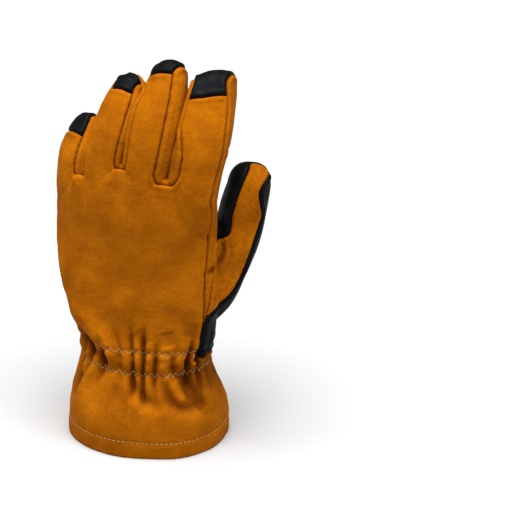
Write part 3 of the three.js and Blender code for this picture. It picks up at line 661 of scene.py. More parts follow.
def thumb_field(x, y, z):
    ball = [(THUMB_CROTCH_ACROSS * a, mix(WRIST_HEIGHT, THUMB_CROTCH_HEIGHT, up)) for a, up in BALL_SEAM]
    ball = smooth_curve(ball, BALL_STEPS)
    beyond = ((PATTERN_SIDE, ball[-1][1]), (PATTERN_SIDE, PATTERN_TOP))
    outline = np.vstack(((thumb_gap(PATTERN_TOP), PATTERN_TOP), ball, beyond))
    return outline_distance(x, z, outline)


def thumb_back_field(x, y, z):
    points = [beside_thumb(at, side) for at, side in THUMB_STRIP]
    outline = smooth_curve([*points, points[0]], STRIP_STEPS)[:-1]
    strip = np.minimum(outline_distance(x, z, outline), THUMB_DEPTH / 2 - y)
    back = back_seam(x, z)
    width = 1 + WING_WIDTH * smooth((z - JUNCTION_HEIGHT) / WING_RISE)
    wing = np.minimum(y - back + WING_LAP, back + width - y)
    wing = np.minimum(wing, np.minimum(z - JUNCTION_HEIGHT - 1, THUMB_CROTCH_HEIGHT - WING_DROP - z))
    return np.maximum(strip, wing)


def palm_seam(x, row):
    return KNUCKLE_HEIGHT * read_table(PALM_SEAMS, row, (x - HAND_LEAN) / KNUCKLE_WIDTH)


def palm_upper_field(x, y, z):
    return z - palm_seam(x, 1)


def palm_heel_field(x, y, z):
    return palm_seam(x, 2) - z


def clip(rows, triangles, values):
    """Splits triangles where values change sign; new points carry all columns"""
    values = np.where(np.abs(values) < SNAP, 0, values)
    corner = values[triangles]
    inside = corner.min(axis=1) >= 0
    outside = ~inside & (corner.max(axis=1) <= 0)
    kept, dropped, made, added = [], [], {}, []
    for triangle in triangles[~inside & ~outside].tolist():
        above, below = [], []
        for k in range(3):
            a, b = triangle[k], triangle[(k + 1) % 3]
            va, vb = values[a], values[b]
            if va >= 0:
                above.append(a)
            if va <= 0:
                below.append(a)
            if va * vb < 0:
                key = (a, b) if a < b else (b, a)
                if key not in made:
                    made[key] = len(rows) + len(added)
                    share = values[key[0]] / (values[key[0]] - values[key[1]])
                    added.append(mix(rows[key[0]], rows[key[1]], share))
                above.append(made[key])
                below.append(made[key])
        for corners, target in ((above, kept), (below, dropped)):
            for k in range(1, len(corners) - 1):
                target.append((corners[0], corners[k], corners[k + 1]))
    if added:
        rows = np.vstack((rows, added))
    part = [triangles[inside], np.array(kept, np.int64).reshape(-1, 3)]
    rest = [triangles[outside], np.array(dropped, np.int64).reshape(-1, 3)]
    return rows, np.vstack(part), np.vstack(rest)


def compact(rows, triangles):
    used, numbered = np.unique(triangles, return_inverse=True)
    return rows[used], numbered.reshape(-1, 3)


def largest(rows, triangles):
    """Keeps the biggest connected part"""
    parent = list(range(len(rows)))

    def root(v):
        while parent[v] != v:
            parent[v] = parent[parent[v]]
            v = parent[v]
        return v

    for a, b, c in triangles.tolist():
        ra, rb, rc = root(a), root(b), root(c)
        parent[rb] = ra
        parent[root(rc)] = ra
    group = np.array([root(v) for v in triangles[:, 0].tolist()])
    names, counts = np.unique(group, return_counts=True)
    return compact(rows, triangles[group == names[counts.argmax()]])


def view_axes():
    azimuth, elevation = radians(VIEW_AZIMUTH), radians(VIEW_ELEVATION)
    right = np.array((cos(azimuth), sin(azimuth), 0))
    up = np.array((-sin(azimuth) * sin(elevation), cos(azimuth) * sin(elevation), cos(elevation)))
    return right, up, np.cross(right, up)


def fold_along(x, z, points, width):
    """Share of a fold's depth, less with distance and towards its ends"""
    nearest, along = np.full(x.shape, np.inf), np.zeros(x.shape)
    count = len(points) - 1
    for k in range(count):
        away, t = to_segment(x, z, points[k], points[k + 1])
        along = np.where(away < nearest, (k + t) / count, along)
        nearest = np.minimum(nearest, away)
    ends = smooth(np.minimum(along, 1 - along) * FOLD_TAPER)
    return bell(nearest, width) * mix(FOLD_END, 1, ends)


def noise_at(points, size, seed=0):
    shift = Vector([seed * step for step in NOISE_SHIFT])
    return np.array([noise.noise(Vector(p) / size + shift) for p in points.tolist()])


def round_the_wrist(x, y, z):
    """Share of the way round the back, from the little finger's side"""
    a, b, middle, _ = hand_section(z)
    return np.arctan2(-y / b, -(x - middle) / a) / pi


def waves(along, rows):
    return sum(size * np.sin(2 * pi * turns * along + start) for turns, size, start in rows)


def bell(away, reach):
    return np.exp(-(away / reach) ** 2)


def gathers(x, y, z, sizes):
    """Pleats that the elastic draws into the back of the wrist"""
    along = round_the_wrist(x, y, z)
    up = z - WRIST_HEIGHT
    sway = SWAY * np.sin(up / SWAY_HEIGHT + SWAY_TURNS * along) * np.clip(np.abs(up) / SWAY_REACH, 0, 1)
    phase = sizes.pleats * along + waves(along, PLEAT_WANDER) + sway
    sharp = (0.5 + 0.5 * np.cos(2 * pi * phase)) ** PLEAT_SHARPNESS
    reach = np.where(up > 0, sizes.gather_up, sizes.gather_down) / MM
    fade = bell(up, reach * (1 + waves(along, PLEAT_LENGTHS)))
    sides = smooth(along * PLEAT_SIDES) * smooth((1 - along) * PLEAT_SIDES)
    pull = bell(z - sizes.thread_low / MM, PULL_REACH) + bell(z - sizes.thread_high / MM, PULL_REACH)
    depth = sizes.pleat_depth / MM
    lift = -depth * (1 + waves(along, PLEAT_DEPTHS)) * sharp * fade
    lift += PUFF * depth * fade - THREAD_PULL * depth * pull * (1 - sharp)
    waist = -sizes.waist / MM * bell(z - WAIST_HEIGHT, WAIST_REACH) * smooth((x - WAIST_START) / WAIST_RAMP)
    return np.where(y < 0, lift * sides, 0) + waist


def half_width(finger, z):
    full = mix(1, finger["full"], smooth((z - KNUCKLE_HEIGHT) / finger["length"]))
    return finger["width"] / 2 * full


def touching(x, z):
    """Swells facing finger walls until neighbours almost touch"""
    order = finger_of(x, z)
    swell = np.zeros_like(z)
    for k, (near, following) in enumerate(zip(FINGERS, FINGERS[1:])):
        left, right = finger_middle(near, z), finger_middle(following, z)
        wide_near, wide_next = half_width(near, z), half_width(following, z)
        spare, most = LITTLE_SWELL if near is LITTLE else FINGER_SWELL
        reach = np.clip((right - wide_next - left - wide_near) / 2 + spare, 0, most)
        reach = reach * smooth((z - near["web_height"] + SWELL_BELOW) / SWELL_RAMP)
        reach = reach * smooth((near["tip"] - z) / SWELL_TIP)
        for mine, away, wide in ((order == k, x - left, wide_near), (order == k + 1, right - x, wide_next)):
            swell = np.where(mine & (away > 0), reach * smooth(away / wide * 2 - SWELL_SIDE), swell)
    return swell


def pattern_form():
    """Points and triangles of the whole straight pattern, evenly meshed"""
    forms = [join_rings(hand_rings(), ridge=True)]
    for finger in FINGERS:
        forms.append(join_rings(digit_rings(
            finger_place(finger), FINGER_SECTIONS, finger["width"], finger["full"], finger["depth"])))
    forms.append(join_rings(digit_rings(thumb_place, THUMB_SECTIONS, THUMB_WIDTH, 1, THUMB_DEPTH)))
    points, faces = [], []
    for form_points, form_faces in forms:
        start = len(points)
        points.extend(form_points.tolist())
        faces.extend(tuple(v + start for v in face) for face in form_faces)
    mesh = bpy.data.meshes.new("pattern_form")
    mesh.from_pydata(points, [], faces)
    form = add_object("pattern_form", mesh)
    remesh = form.modifiers.new("even_faces", "REMESH")
    remesh.mode = "VOXEL"
    remesh.voxel_size = bpy.context.scene.glove_sizes.face_size / MM
    evaluated = form.evaluated_get(bpy.context.evaluated_depsgraph_get())
    even = bpy.data.meshes.new_from_object(evaluated)
    pattern, triangles = mesh_arrays(even)
    bpy.data.objects.remove(form)
    for old in (mesh, even):
        bpy.data.meshes.remove(old)
    return relax(pattern, triangles, RELAX_ROUNDS), triangles


@lru_cache(maxsize=None)
def glove_skin():
    """The whole outer surface: pattern place, glove place, normal and lift"""
    pattern, triangles = pattern_form()
    place = bend(pattern)
    normals = surface_normals(place, triangles)
    x, y, z = pattern.T
    lift = gathers(x, y, z, bpy.context.scene.glove_sizes)
    right, up, towards = view_axes()
    facing = smooth(normals @ towards * FOLD_FACING)
    across, height = place @ right, place @ up
    for _, depth, width, line in FOLDS:
        lift -= depth * facing * fold_along(across, height, smooth_curve(line, FOLD_STEPS), width)
    lift += touching(x, z)
    lift += sum(depth * noise_at(place, size, seed) for depth, size, seed in UNEVENNESS)
    depth, size, seed = CREASES
    lift += depth * noise_at(place, size, seed) * bell(z - WRIST_HEIGHT, CREASE_REACH)
    lift -= HEM_DENT * bell(z - HEM_TURN, HEM_DENT_REACH)
    rows = np.column_stack((pattern, place, normals, lift))
    rows, triangles, _ = clip(rows, triangles, rows[:, 2])
    return compact(rows, triangles)


def take(rows, triangles, field):
    """Parts a surface along a seam, with a hair's breadth between"""
    gap = bpy.context.scene.glove_sizes.seam_gap / MM / 2
    values = field(*rows[:, :3].T)
    part_rows, part, _ = clip(rows, triangles, values - gap)
    rest_rows, _, rest = clip(rows, triangles, values + gap)
    return compact(part_rows, part), compact(rest_rows, rest)


@lru_cache(maxsize=None)
def panels():
    """Every panel's outer surface, by the name of its solid"""
    rest = glove_skin()
    cut = {}
    cut["cuff_front"], rest = take(*rest, cuff_field)
    cut["side_little"], rest = take(*rest, little_field)
    cut["side_index"], rest = take(*rest, index_field)
    for near, following in zip(FINGERS, FINGERS[1:]):
        name = f"fourchette_{near['name']}_{following['name']}"
        cut[name], rest = take(*rest, strip_field(near, following))
    cut["back_shell"], rest = take(*rest, back_field)
    thumb, rest = take(*rest, thumb_field)
    cut["thumb_back"], cut["thumb_front"] = take(*thumb, thumb_back_field)
    cut["palm_upper"], rest = take(*rest, palm_upper_field)
    cut["palm_heel"], cut["palm_insert"] = take(*rest, palm_heel_field)
    return {name: largest(*panel) for name, panel in cut.items()}


def boundary_edges(triangles):
    pairs = np.vstack((triangles[:, (0, 1)], triangles[:, (1, 2)], triangles[:, (2, 0)]))
    key = np.sort(pairs, axis=1)
    _, first, counts = np.unique(key, axis=0, return_index=True, return_counts=True)
    return pairs[first[counts == 1]]


@lru_cache(maxsize=None)
def shaped_panel(node):
    """Outer and inner points of a panel, its faces, edge distance, rim and lift"""
    sizes = bpy.context.scene.glove_sizes
    rows, triangles = panels()[node]
    pattern, place, normals, lift = rows[:, :3], rows[:, 3:6], rows[:, 6:9], rows[:, 9]
    rim = boundary_edges(triangles)
    seam = np.unique(rim)
    seam = seam[pattern[seam, 2] > FLOOR_REACH]
    tree = kdtree.KDTree(len(seam))
    for k, point in enumerate(place[seam].tolist()):
        tree.insert(point, k)
    tree.balance()
    edge = np.array([tree.find(point)[2] for point in place.tolist()])
    roll = sizes.seam_roll / MM
    inward = 1 - np.clip(edge / roll, 0, 1)
    drop = roll * (1 - np.sqrt(1 - inward ** 2)) * ROLL_SHARE
    lip = sizes.seam_lip / MM * bell(edge - LIP_PLACE * roll, roll)
    depth, size, seed = PUCKER
    pucker = depth * noise_at(place, size, seed) * np.exp(-edge / PUCKER_REACH)
    z = pattern[:, 2]
    hem = HEM_ROUND - np.clip(z, 0, HEM_ROUND)
    hem_drop = HEM_ROUND - np.sqrt(np.maximum(0, HEM_ROUND ** 2 - hem ** 2))
    outer = place + normals * (lift - drop + lip + pucker - hem_drop)[:, None]
    wall_here = mix(sizes.hem_wall, sizes.wall, smooth((z - HEM_TURN) * 2)) / MM
    wall_here = wall_here - np.where(z < HEM_ROUND, hem_drop * HEM_INNER_SHARE, 0)
    inner = place + normals * (lift - wall_here)[:, None]
    outer[:, 2] = np.maximum(0, outer[:, 2])
    inner[:, 2] = np.where(z < HEM_FLAT, 0, np.maximum(0, inner[:, 2]))
    return outer, inner, triangles, edge, rim, lift


def dress(mesh, material):
    """Gives a mesh its material and smooth faces"""
    mesh.materials.clear()
    mesh.materials.append(material)
    mesh.polygons.foreach_set("use_smooth", [True] * len(mesh.polygons))


def build_panel(node, material):
    name, slot = SKINS[node]
    outer, inner, triangles, edge, rim, lift = shaped_panel(node)
    count = len(outer)
    faces = [*triangles.tolist(), *(triangles[:, ::-1] + count).tolist()]
    faces.extend((b, a, a + count, b + count) for a, b in rim.tolist())
    mesh = bpy.data.meshes.new(name)
    mesh.from_pydata((np.vstack((outer, inner)) * MM).tolist(), [], faces)
    seam = mesh.attributes.new("edge", "FLOAT", "POINT")
    seam.data.foreach_set("value", np.minimum(EDGE_LIMIT, np.concatenate((edge, edge))))
    # How deep each point lies in a pleat or fold, read by the gold leather as painted shade
    hollow = mesh.attributes.new("hollow", "FLOAT", "POINT")
    hollow.data.foreach_set("value", np.clip(-np.concatenate((lift, lift)) / HOLLOW_SHADE_DEPTH, 0, 1))
    dress(mesh, material)
    piece = add_object(name, mesh)
    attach(piece, "root")
    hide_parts(node)
    return piece


# Materials

def new_node(tree, kind, **values):
    """A node with constant inputs; an underscore stands for a space"""
    node = tree.nodes.new(kind)
    for name, value in values.items():
        node.inputs[name.replace("_", " ")].default_value = value
    return node


def start_material(name, **values):
    material = bpy.data.materials.new(name)
    material.use_nodes = True
    tree = material.node_tree
    tree.nodes.clear()
    output = new_node(tree, "ShaderNodeOutputMaterial")
    shader = new_node(tree, "ShaderNodeBsdfPrincipled", **values)
    tree.links.new(shader.outputs["BSDF"], output.inputs["Surface"])
    return material, tree, shader, new_node(tree, "ShaderNodeTexCoord").outputs["Object"]


def noise_node(tree, place, size, detail=3.0, rough=0.55):
    """Noise whose features are about size across, in metres"""
    node = new_node(tree, "ShaderNodeTexNoise", Scale=1 / size, Detail=detail, Roughness=rough)
    tree.links.new(place, node.inputs["Vector"])
    return node.outputs["Fac"]


def attribute_node(tree, name):
    node = tree.nodes.new("ShaderNodeAttribute")
    node.attribute_name = name
    return node.outputs["Fac"]


def ramp_node(tree, source, stops):
    node = tree.nodes.new("ShaderNodeValToRGB")
    ramp = node.color_ramp
    while len(ramp.elements) < len(stops):
        ramp.elements.new(0.5)
    for element, (at, colour) in zip(ramp.elements, stops):
        element.position = at
        element.color = (*colour, 1)
    tree.links.new(source, node.inputs["Fac"])
    return node.outputs["Color"]


def multiply_node(tree, factor, a, b):
    node = new_node(tree, "ShaderNodeMix", Factor=factor)
    node.data_type, node.blend_type = "RGBA", "MULTIPLY"
    tree.links.new(a, node.inputs["A"])
    tree.links.new(b, node.inputs["B"])
    return node.outputs["Result"]


def bump_node(tree, height, distance, strength, after=None):
    node = new_node(tree, "ShaderNodeBump", Distance=distance, Strength=strength)
    tree.links.new(height, node.inputs["Height"])
    if after is not None:
        tree.links.new(after, node.inputs["Normal"])
    return node.outputs["Normal"]


def gold_material(name, colours, nap):
    """Brushed gold leather, darkened in its hollows as painted shade; nap is how hairy it is, from 0 to 1
    """
    material, tree, shader, place = start_material(
        name, Roughness=0.88, Specular_IOR_Level=0.04, Sheen_Weight=0.03 + 0.04 * nap,
        Sheen_Roughness=0.5, Sheen_Tint=(1.0, 0.42, 0.04, 1))
    broad = noise_node(tree, place, size=0.022, detail=4.0)
    fleck = noise_node(tree, place, size=0.0026, detail=5.0, rough=0.7)
    grain = noise_node(tree, place, size=0.0007, detail=4.0, rough=0.7)
    near = new_node(tree, "ShaderNodeMapRange", From_Min=0.0, From_Max=0.7)
    tree.links.new(attribute_node(tree, "edge"), near.inputs["Value"])
    tint = ramp_node(tree, broad, (
        (0.3, colours.gold_deep[:]), (0.52, colours.gold[:]), (0.75, colours.gold_bright[:])))
    for factor, source, stops in (
        (0.35 + 0.35 * nap, fleck, ((0.36, (0.72, 0.66, 0.6)), (0.62, (1.12, 1.14, 1.2)))),
        (0.3 + 0.3 * nap, grain, ((0.3, (0.75, 0.7, 0.62)), (0.7, (1.15, 1.18, 1.3)))),
        (1.0, near.outputs["Result"], (
            (0.0, (0.42, 0.34, 0.28)), (0.5, (0.8, 0.75, 0.7)), (1.0, (1.0,) * 3))),
        # Painted shade: the leather darkens in the hollows of pleats and folds
        (1.0, attribute_node(tree, "hollow"), ((0.1, (1.0,) * 3), (0.8, (0.42, 0.36, 0.3)))),
    ):
        tint = multiply_node(tree, factor, tint, ramp_node(tree, source, stops))
    tree.links.new(tint, shader.inputs["Base Color"])
    lay = new_node(tree, "ShaderNodeMapping", Scale=(0.22, 0.22, 1.0))
    tree.links.new(place, lay.inputs["Vector"])
    brushed = noise_node(tree, lay.outputs["Vector"], size=0.0022, detail=3.0, rough=0.6)
    wrinkles = bump_node(tree, brushed, distance=0.0007, strength=0.45)
    coarse = bump_node(tree, fleck, distance=0.0006, strength=0.35 + 0.3 * nap, after=wrinkles)
    fine = bump_node(tree, grain, distance=0.0003, strength=0.5 + 0.4 * nap, after=coarse)
    tree.links.new(fine, shader.inputs["Normal"])
    return material


def black_material(colours):
    material, tree, shader, place = start_material("black_palm_leather", Specular_IOR_Level=0.07)
    broad = noise_node(tree, place, size=0.02, detail=3.0)
    creases = noise_node(tree, place, size=0.004, detail=5.0, rough=0.65)
    cells = new_node(tree, "ShaderNodeTexVoronoi", Scale=900)
    cells.feature = "DISTANCE_TO_EDGE"
    tree.links.new(place, cells.inputs["Vector"])
    base = ramp_node(tree, broad, ((0.3, colours.black[:]), (0.75, tuple(c * 1.7 for c in colours.black))))
    rough = ramp_node(tree, creases, ((0.3, (0.5,) * 3), (0.7, (0.66,) * 3)))
    coarse = bump_node(tree, creases, distance=0.0008, strength=0.35)
    fine = bump_node(tree, cells.outputs["Distance"], distance=0.0003, strength=0.35, after=coarse)
    for source, socket in ((base, "Base Color"), (rough, "Roughness"), (fine, "Normal")):
        tree.links.new(source, shader.inputs[socket])
    return material


def thread_material(name, colour):
    material, tree, shader, place = start_material(name, Roughness=0.6)
    twist = noise_node(tree, place, size=0.0006, detail=2.0)
    tone = ramp_node(tree, twist, ((0.3, tuple(c * 0.75 for c in colour)), (0.7, tuple(colour))))
    tree.links.new(tone, shader.inputs["Base Color"])
    tree.links.new(bump_node(tree, twist, distance=0.0002, strength=0.5), shader.inputs["Normal"])
    return material


@lru_cache(maxsize=None)
def finish(slot):
    colours = bpy.context.scene.glove_colours
    if slot == "gold_leather":
        return gold_material("gold_back_leather", colours, 0.25)
    if slot == "gold_suede":
        return gold_material("gold_side_suede", colours, 1.0)
    if slot == "black_leather":
        return black_material(colours)
    return thread_material(slot, getattr(colours, slot)[:])


# Threads

def level_lines(triangles, values, keep):
    """Lines on a surface where values are nought"""
    values = np.where(np.abs(values) < NEARLY_NONE, NEARLY_NONE, values)
    corner = values[triangles] > 0
    crossing = corner.any(axis=1) & ~corner.all(axis=1) & keep[triangles].all(axis=1)
    links, spots = {}, {}
    for triangle in triangles[crossing].tolist():
        ends = []
        for k in range(3):
            a, b = sorted((triangle[k], triangle[(k + 1) % 3]))
            if values[a] * values[b] < 0:
                ends.append((a, b))
                if (a, b) not in spots:
                    spots[(a, b)] = values[a] / (values[a] - values[b])
        links.setdefault(ends[0], []).append(ends[1])
        links.setdefault(ends[1], []).append(ends[0])
    lines, seen = [], set()
    starts = [key for key in links if len(links[key]) == 1] + list(links)
    for start in starts:
        if start in seen:
            continue
        line, here = [], start
        while here is not None:
            seen.add(here)
            line.append(here)
            here = next((key for key in links[here] if key not in seen), None)
        lines.append(line)
    return [np.array([[*key, spots[key]] for key in line]) for line in lines if len(line) > SHORTEST_LINE]


def thread_path(node, values, keep):
    """Points and facing directions of a thread's lines on a panel"""
    outer, _, triangles, *_ = shaped_panel(node)
    normals = surface_normals(outer, triangles)
    lines = []
    for line in level_lines(triangles, values, keep):
        a, b, share = line[:, 0].astype(int), line[:, 1].astype(int), line[:, 2:3]
        lines.append((mix(outer[a], outer[b], share), mix(normals[a], normals[b], share)))
    return lines


def stitch_tree():
    tree = bpy.data.node_groups.new("stitches_along", "GeometryNodeTree")
    face = tree.interface
    face.new_socket("Path", in_out="INPUT", socket_type="NodeSocketGeometry")
    for name in ("Pitch", "Length", "Width"):
        face.new_socket(name, in_out="INPUT", socket_type="NodeSocketFloat")
    face.new_socket("Thread", in_out="INPUT", socket_type="NodeSocketMaterial")
    face.new_socket("Stitches", in_out="OUTPUT", socket_type="NodeSocketGeometry")
    make = partial(new_node, tree)
    given, result = make("NodeGroupInput"), make("NodeGroupOutput")
    curve, even = make("GeometryNodeMeshToCurve"), make("GeometryNodeResampleCurve")
    even.mode = "LENGTH"
    bead = make("GeometryNodeMeshUVSphere", Segments=6, Rings=5, Radius=0.5)
    size, scale = make("GeometryNodeTransform"), make("ShaderNodeCombineXYZ")
    tangent = make("GeometryNodeInputTangent")
    facing = make("GeometryNodeInputNamedAttribute", Name="facing")
    facing.data_type = "FLOAT_VECTOR"
    along, stand = make("FunctionNodeAlignRotationToVector"), make("FunctionNodeAlignRotationToVector")
    along.axis, stand.axis, stand.pivot_axis = "X", "Z", "X"
    place, real = make("GeometryNodeInstanceOnPoints"), make("GeometryNodeRealizeInstances")
    dressed = make("GeometryNodeSetMaterial")
    for source, output, target, socket in (
        (given, "Path", curve, "Mesh"), (curve, "Curve", even, "Curve"), (given, "Pitch", even, "Length"),
        (given, "Length", scale, "X"), (given, "Width", scale, "Y"), (given, "Width", scale, "Z"),
        (bead, "Mesh", size, "Geometry"), (scale, "Vector", size, "Scale"),
        (even, "Curve", place, "Points"), (size, "Geometry", place, "Instance"),
        (tangent, "Tangent", along, "Vector"), (along, "Rotation", stand, "Rotation"),
        (facing, "Attribute", stand, "Vector"), (stand, "Rotation", place, "Rotation"),
        (place, "Instances", real, "Geometry"), (real, "Geometry", dressed, "Geometry"),
        (given, "Thread", dressed, "Material"), (dressed, "Geometry", result, "Stitches"),
    ):
        tree.links.new(source.outputs[output], target.inputs[socket])
    return tree


def build_stitches(name, thread, lines, pitch, length, width):
    """Stitches along lines, as one plain mesh"""
    points, edges, facing = [], [], []
    for line, normals in lines:
        start = len(points)
        raised = (line + normals * width / MM * THREAD_RISE) * MM
        points.extend(raised.tolist())
        facing.extend(normals.ravel().tolist())
        edges.extend((start + k, start + k + 1) for k in range(len(line) - 1))
    path = bpy.data.meshes.new(name)
    path.from_pydata(points, edges, [])
    path.attributes.new("facing", "FLOAT_VECTOR", "POINT").data.foreach_set("vector", facing)
    piece = add_object(name, path)
    tree = bpy.data.node_groups.get("stitches_along") or stitch_tree()
    modifier = piece.modifiers.new("stitches", "NODES")
    modifier.node_group = tree
    sockets = {item.name: item.identifier for item in tree.interface.items_tree if item.in_out == "INPUT"}
    modifier[sockets["Pitch"]] = pitch
    modifier[sockets["Length"]] = length
    modifier[sockets["Width"]] = width
    modifier[sockets["Thread"]] = finish(thread)
    evaluated = piece.evaluated_get(bpy.context.evaluated_depsgraph_get())
    stitches = bpy.data.meshes.new_from_object(evaluated)
    piece.modifiers.clear()
    piece.data = stitches
    stitches.name = name
    bpy.data.meshes.remove(path)
    dress(stitches, finish(thread))
    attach(piece, "root")
    return piece


def pattern_of(node):
    return panels()[node][0][:, :3].T


def zigzag(along, pitch, reach):
    share = (along / pitch) % 1
    return reach * (4 * np.abs(share - 0.5) - 1)


def length_of(name, description, default, least=0):
    return bpy.props.FloatProperty(
        name=name, description=description, default=default, min=least, unit="LENGTH", precision=5)


def colour_of(name, description, default):
    return bpy.props.FloatVectorProperty(
        name=name, description=description, default=default, subtype="COLOR", size=3, min=0, max=1)


class GloveSizes(bpy.types.PropertyGroup):
    """Sizes of the leather and the threads"""
    face_size: length_of("Face size", "Fineness of the leather's surface", 0.00105, 0.0006)
    wall: length_of("Leather", "Thickness of the leather", 0.0021)
    hem_wall: length_of("Hem", "Thickness of the turned hem", 0.0040)
    seam_gap: length_of("Seam gap", "Space between two sewn panels", 0.00005)
    seam_roll: length_of("Seam roll", "Radius of a panel's turned edge", 0.0015)
    seam_lip: length_of("Seam lip", "Height of the ridge beside a seam", 0.0010)
    pleats: bpy.props.FloatProperty(
        name="Pleats", description="Number of pleats at the wrist", default=13.0)
    pleat_depth: length_of("Pleat depth", "Depth of the wrist's pleats", 0.0062)
    waist: length_of("Waist", "How far the cuff draws in below the thumb", 0.0035)
    gather_up: length_of("Pleats above", "Reach of the pleats above the wrist", 0.014)
    gather_down: length_of("Pleats below", "Reach of the pleats below the wrist", 0.021)
    thread_low: length_of("Lower gather", "Height of the lower gathering thread", 0.058)
    thread_high: length_of("Upper gather", "Height of the upper gathering thread", 0.073)
    stitch_pitch: length_of("Stitch pitch", "Distance between stitches", 0.0034)
    stitch_length: length_of("Stitch length", "Length of a stitch", 0.0026)
    stitch_width: length_of("Stitch width", "Thickness of the thread", 0.0006)


class GloveColours(bpy.types.PropertyGroup):
    """Colours of the leathers and threads"""
    gold: colour_of("Gold", "Gold leather", (0.385, 0.108, 0.0008))
    gold_deep: colour_of("Deep gold", "Darker patches of the gold leather", (0.300, 0.078, 0.0006))
    gold_bright: colour_of("Bright gold", "Lighter patches of the gold leather", (0.475, 0.142, 0.0013))
    black: colour_of("Black", "Black leather", (0.0024, 0.0027, 0.0033))
    pale_thread: colour_of("Pale thread", "Thread of the gold leather", (0.62, 0.36, 0.11))
    white_thread: colour_of("White thread", "Thread of the black leather", (0.75, 0.75, 0.72))


class PanelOperator:
    """What the makers of leather panels share"""
    nodes = ()

    def execute(self, context):
        for node in self.nodes:
            build_panel(node, finish(SKINS[node][1]))
        return {"FINISHED"}


class GLOVE_OT_back(PanelOperator, bpy.types.Operator):
    """Makes the back leather from the hem to the fingertips"""
    bl_idname = "glove.back"
    bl_label = "Back leather"
    nodes = ("back_shell",)


class GLOVE_OT_sides(PanelOperator, bpy.types.Operator):
    """Makes the side walls and the strips between the fingers"""
    bl_idname = "glove.sides"
    bl_label = "Side walls"
    nodes = ("side_little", "side_index", "fourchette_little_ring", "fourchette_ring_middle",
             "fourchette_middle_index")


class GLOVE_OT_thumb(PanelOperator, bpy.types.Operator):
    """Makes the two leathers of the thumb"""
    bl_idname = "glove.thumb"
    bl_label = "Thumb"
    nodes = ("thumb_back", "thumb_front")


class GLOVE_OT_palm(PanelOperator, bpy.types.Operator):
    """Makes the three leathers of the palm"""
    bl_idname = "glove.palm"
    bl_label = "Palm"
    nodes = ("palm_upper", "palm_insert", "palm_heel")


class GLOVE_OT_cuff(PanelOperator, bpy.types.Operator):
    """Makes the front of the cuff"""
    bl_idname = "glove.cuff"
    bl_label = "Cuff front"
    nodes = ("cuff_front",)


class GLOVE_OT_threads(bpy.types.Operator):
    """Sews the hem, the wrist's gathers and the palm"""
    bl_idname = "glove.threads"
    bl_label = "Threads"

    def execute(self, context):
        sizes = context.scene.glove_sizes
        pitch, length, width = sizes.stitch_pitch, sizes.stitch_length, sizes.stitch_width
        hem, gather, white = [], [], []
        for node in ("back_shell", "cuff_front"):
            z = pattern_of(node)[2]
            hem += thread_path(node, z - HEM_TURN, np.ones(len(z), bool))
        build_stitches("hem_stitches", "pale_thread", hem, pitch, length, width)
        x, y, z = pattern_of("back_shell")
        wave = zigzag(round_the_wrist(x, y, z) * pi * WRIST_WIDTH / 2, *ZIGZAG)
        for height in (sizes.thread_low / MM, sizes.thread_high / MM):
            gather += thread_path("back_shell", z - height - wave, y < GATHER_LIMIT)
        short_pitch, short_length, thinner = ZIGZAG_STITCH
        build_stitches("gather_stitches", "pale_thread", gather,
                       short_pitch, short_length, width * thinner)
        fields = {"palm_upper": palm_upper_field, "palm_heel": palm_heel_field}
        for node, away in PALM_ROWS:
            x, y, z = pattern_of(node)
            for distance in away:
                white += thread_path(node, fields[node](x, y, z) - distance, y > 0)
        x, y, z = pattern_of("thumb_front")
        low, high = THUMB_ROWS_HEIGHTS
        front = (y > THUMB_ROWS_FRONT) & (z < high) & (z > low)
        for distance in THUMB_ROWS:
            white += thread_path("thumb_front", thumb_field(x, y, z) - distance, front)
        build_stitches("palm_stitches", "white_thread", white, pitch, length, width)
        return {"FINISHED"}


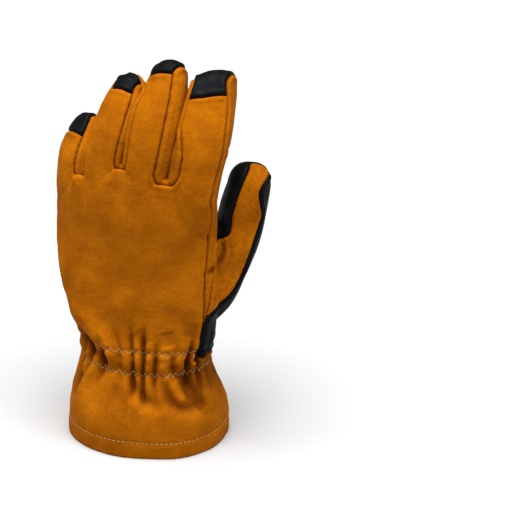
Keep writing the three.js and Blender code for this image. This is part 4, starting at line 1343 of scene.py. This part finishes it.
class GLOVE_OT_stage(bpy.types.Operator):
    """Makes the floor, the studio light and the camera"""
    bl_idname = "glove.stage"
    bl_label = "Stage"

    def execute(self, context):
        scene = context.scene
        mesh = bpy.data.meshes.new("floor")
        corners = [(x * FLOOR_HALF, y * FLOOR_HALF, 0) for x, y in ((-1, -1), (1, -1), (1, 1), (-1, 1))]
        mesh.from_pydata(corners, [], [(0, 1, 2, 3)])
        material, tree, shader, place = start_material("pale_floor", Roughness=0.9)
        speckle = noise_node(tree, place, size=0.3, detail=2.0)
        tone = ramp_node(tree, speckle, [(at, (grey,) * 3) for at, grey in enumerate(FLOOR_TONES)])
        tree.links.new(tone, shader.inputs["Base Color"])
        mesh.materials.append(material)
        add_object("floor", mesh)
        world = bpy.data.worlds.new("studio")
        world.use_nodes = True
        light = world.node_tree.nodes["Background"].inputs
        light["Color"].default_value = (1, 1, 1, 1)
        light["Strength"].default_value = WORLD_LIGHT
        scene.world = world
        scene.view_settings.view_transform = "Standard"
        for name, place, size, power in LAMPS:
            light = bpy.data.lights.new(name, "AREA")
            light.size, light.energy = size, power
            lamp = add_object(name, light)
            lamp.location = place
            lamp.rotation_euler = (Vector(LAMPS_AIM) - Vector(place)).to_track_quat("-Z", "Y").to_euler()
        sun = bpy.data.lights.new("top_light", "SUN")
        sun.angle, sun.energy = radians(SUN_SPREAD), SUN_POWER
        add_object("top_light", sun).rotation_euler = Vector(SUN_FROM).to_track_quat("Z", "Y").to_euler()
        right, up, towards = (Vector(axis) for axis in view_axes())
        half = FRAME_PIXELS / 2
        middle = (right * (half - ORIGIN_PIXEL[0]) + up * (ORIGIN_PIXEL[1] - half)) * PIXEL * MM
        data = bpy.data.cameras.new("camera")
        data.type = "ORTHO"
        data.ortho_scale = FRAME_PIXELS * PIXEL * MM
        camera = add_object("camera", data)
        camera.location = middle + towards * CAMERA_AWAY
        camera.rotation_euler = towards.to_track_quat("Z", "Y").to_euler()
        scene.camera = camera
        return {"FINISHED"}


OPERATORS = (GLOVE_OT_back, GLOVE_OT_sides, GLOVE_OT_thumb, GLOVE_OT_palm, GLOVE_OT_cuff,
             GLOVE_OT_threads, GLOVE_OT_stage)


class GLOVE_PT_panel(bpy.types.Panel):
    """Lists the makers of the glove's parts"""
    bl_label = "Glove"
    bl_idname = "GLOVE_PT_panel"
    bl_space_type = "VIEW_3D"
    bl_region_type = "UI"
    bl_category = "Glove"

    def draw(self, context):
        for maker in OPERATORS:
            self.layout.operator(maker.bl_idname)
        for group in (context.scene.glove_sizes, context.scene.glove_colours):
            for name in group.__annotations__:
                self.layout.prop(group, name)


CLASSES = (GloveSizes, GloveColours, *OPERATORS, GLOVE_PT_panel)


def register():
    for kind in CLASSES:
        bpy.utils.register_class(kind)
    bpy.types.Scene.glove_sizes = bpy.props.PointerProperty(type=GloveSizes)
    bpy.types.Scene.glove_colours = bpy.props.PointerProperty(type=GloveColours)


def unregister():
    del bpy.types.Scene.glove_colours
    del bpy.types.Scene.glove_sizes
    for kind in reversed(CLASSES):
        bpy.utils.unregister_class(kind)


def main():
    register()
    bpy.ops.glove.stage()
    bpy.ops.glove.back()
    bpy.ops.glove.sides()
    bpy.ops.glove.thumb()
    bpy.ops.glove.palm()
    bpy.ops.glove.cuff()
    bpy.ops.glove.threads()


if __name__ == "__main__":
    main()
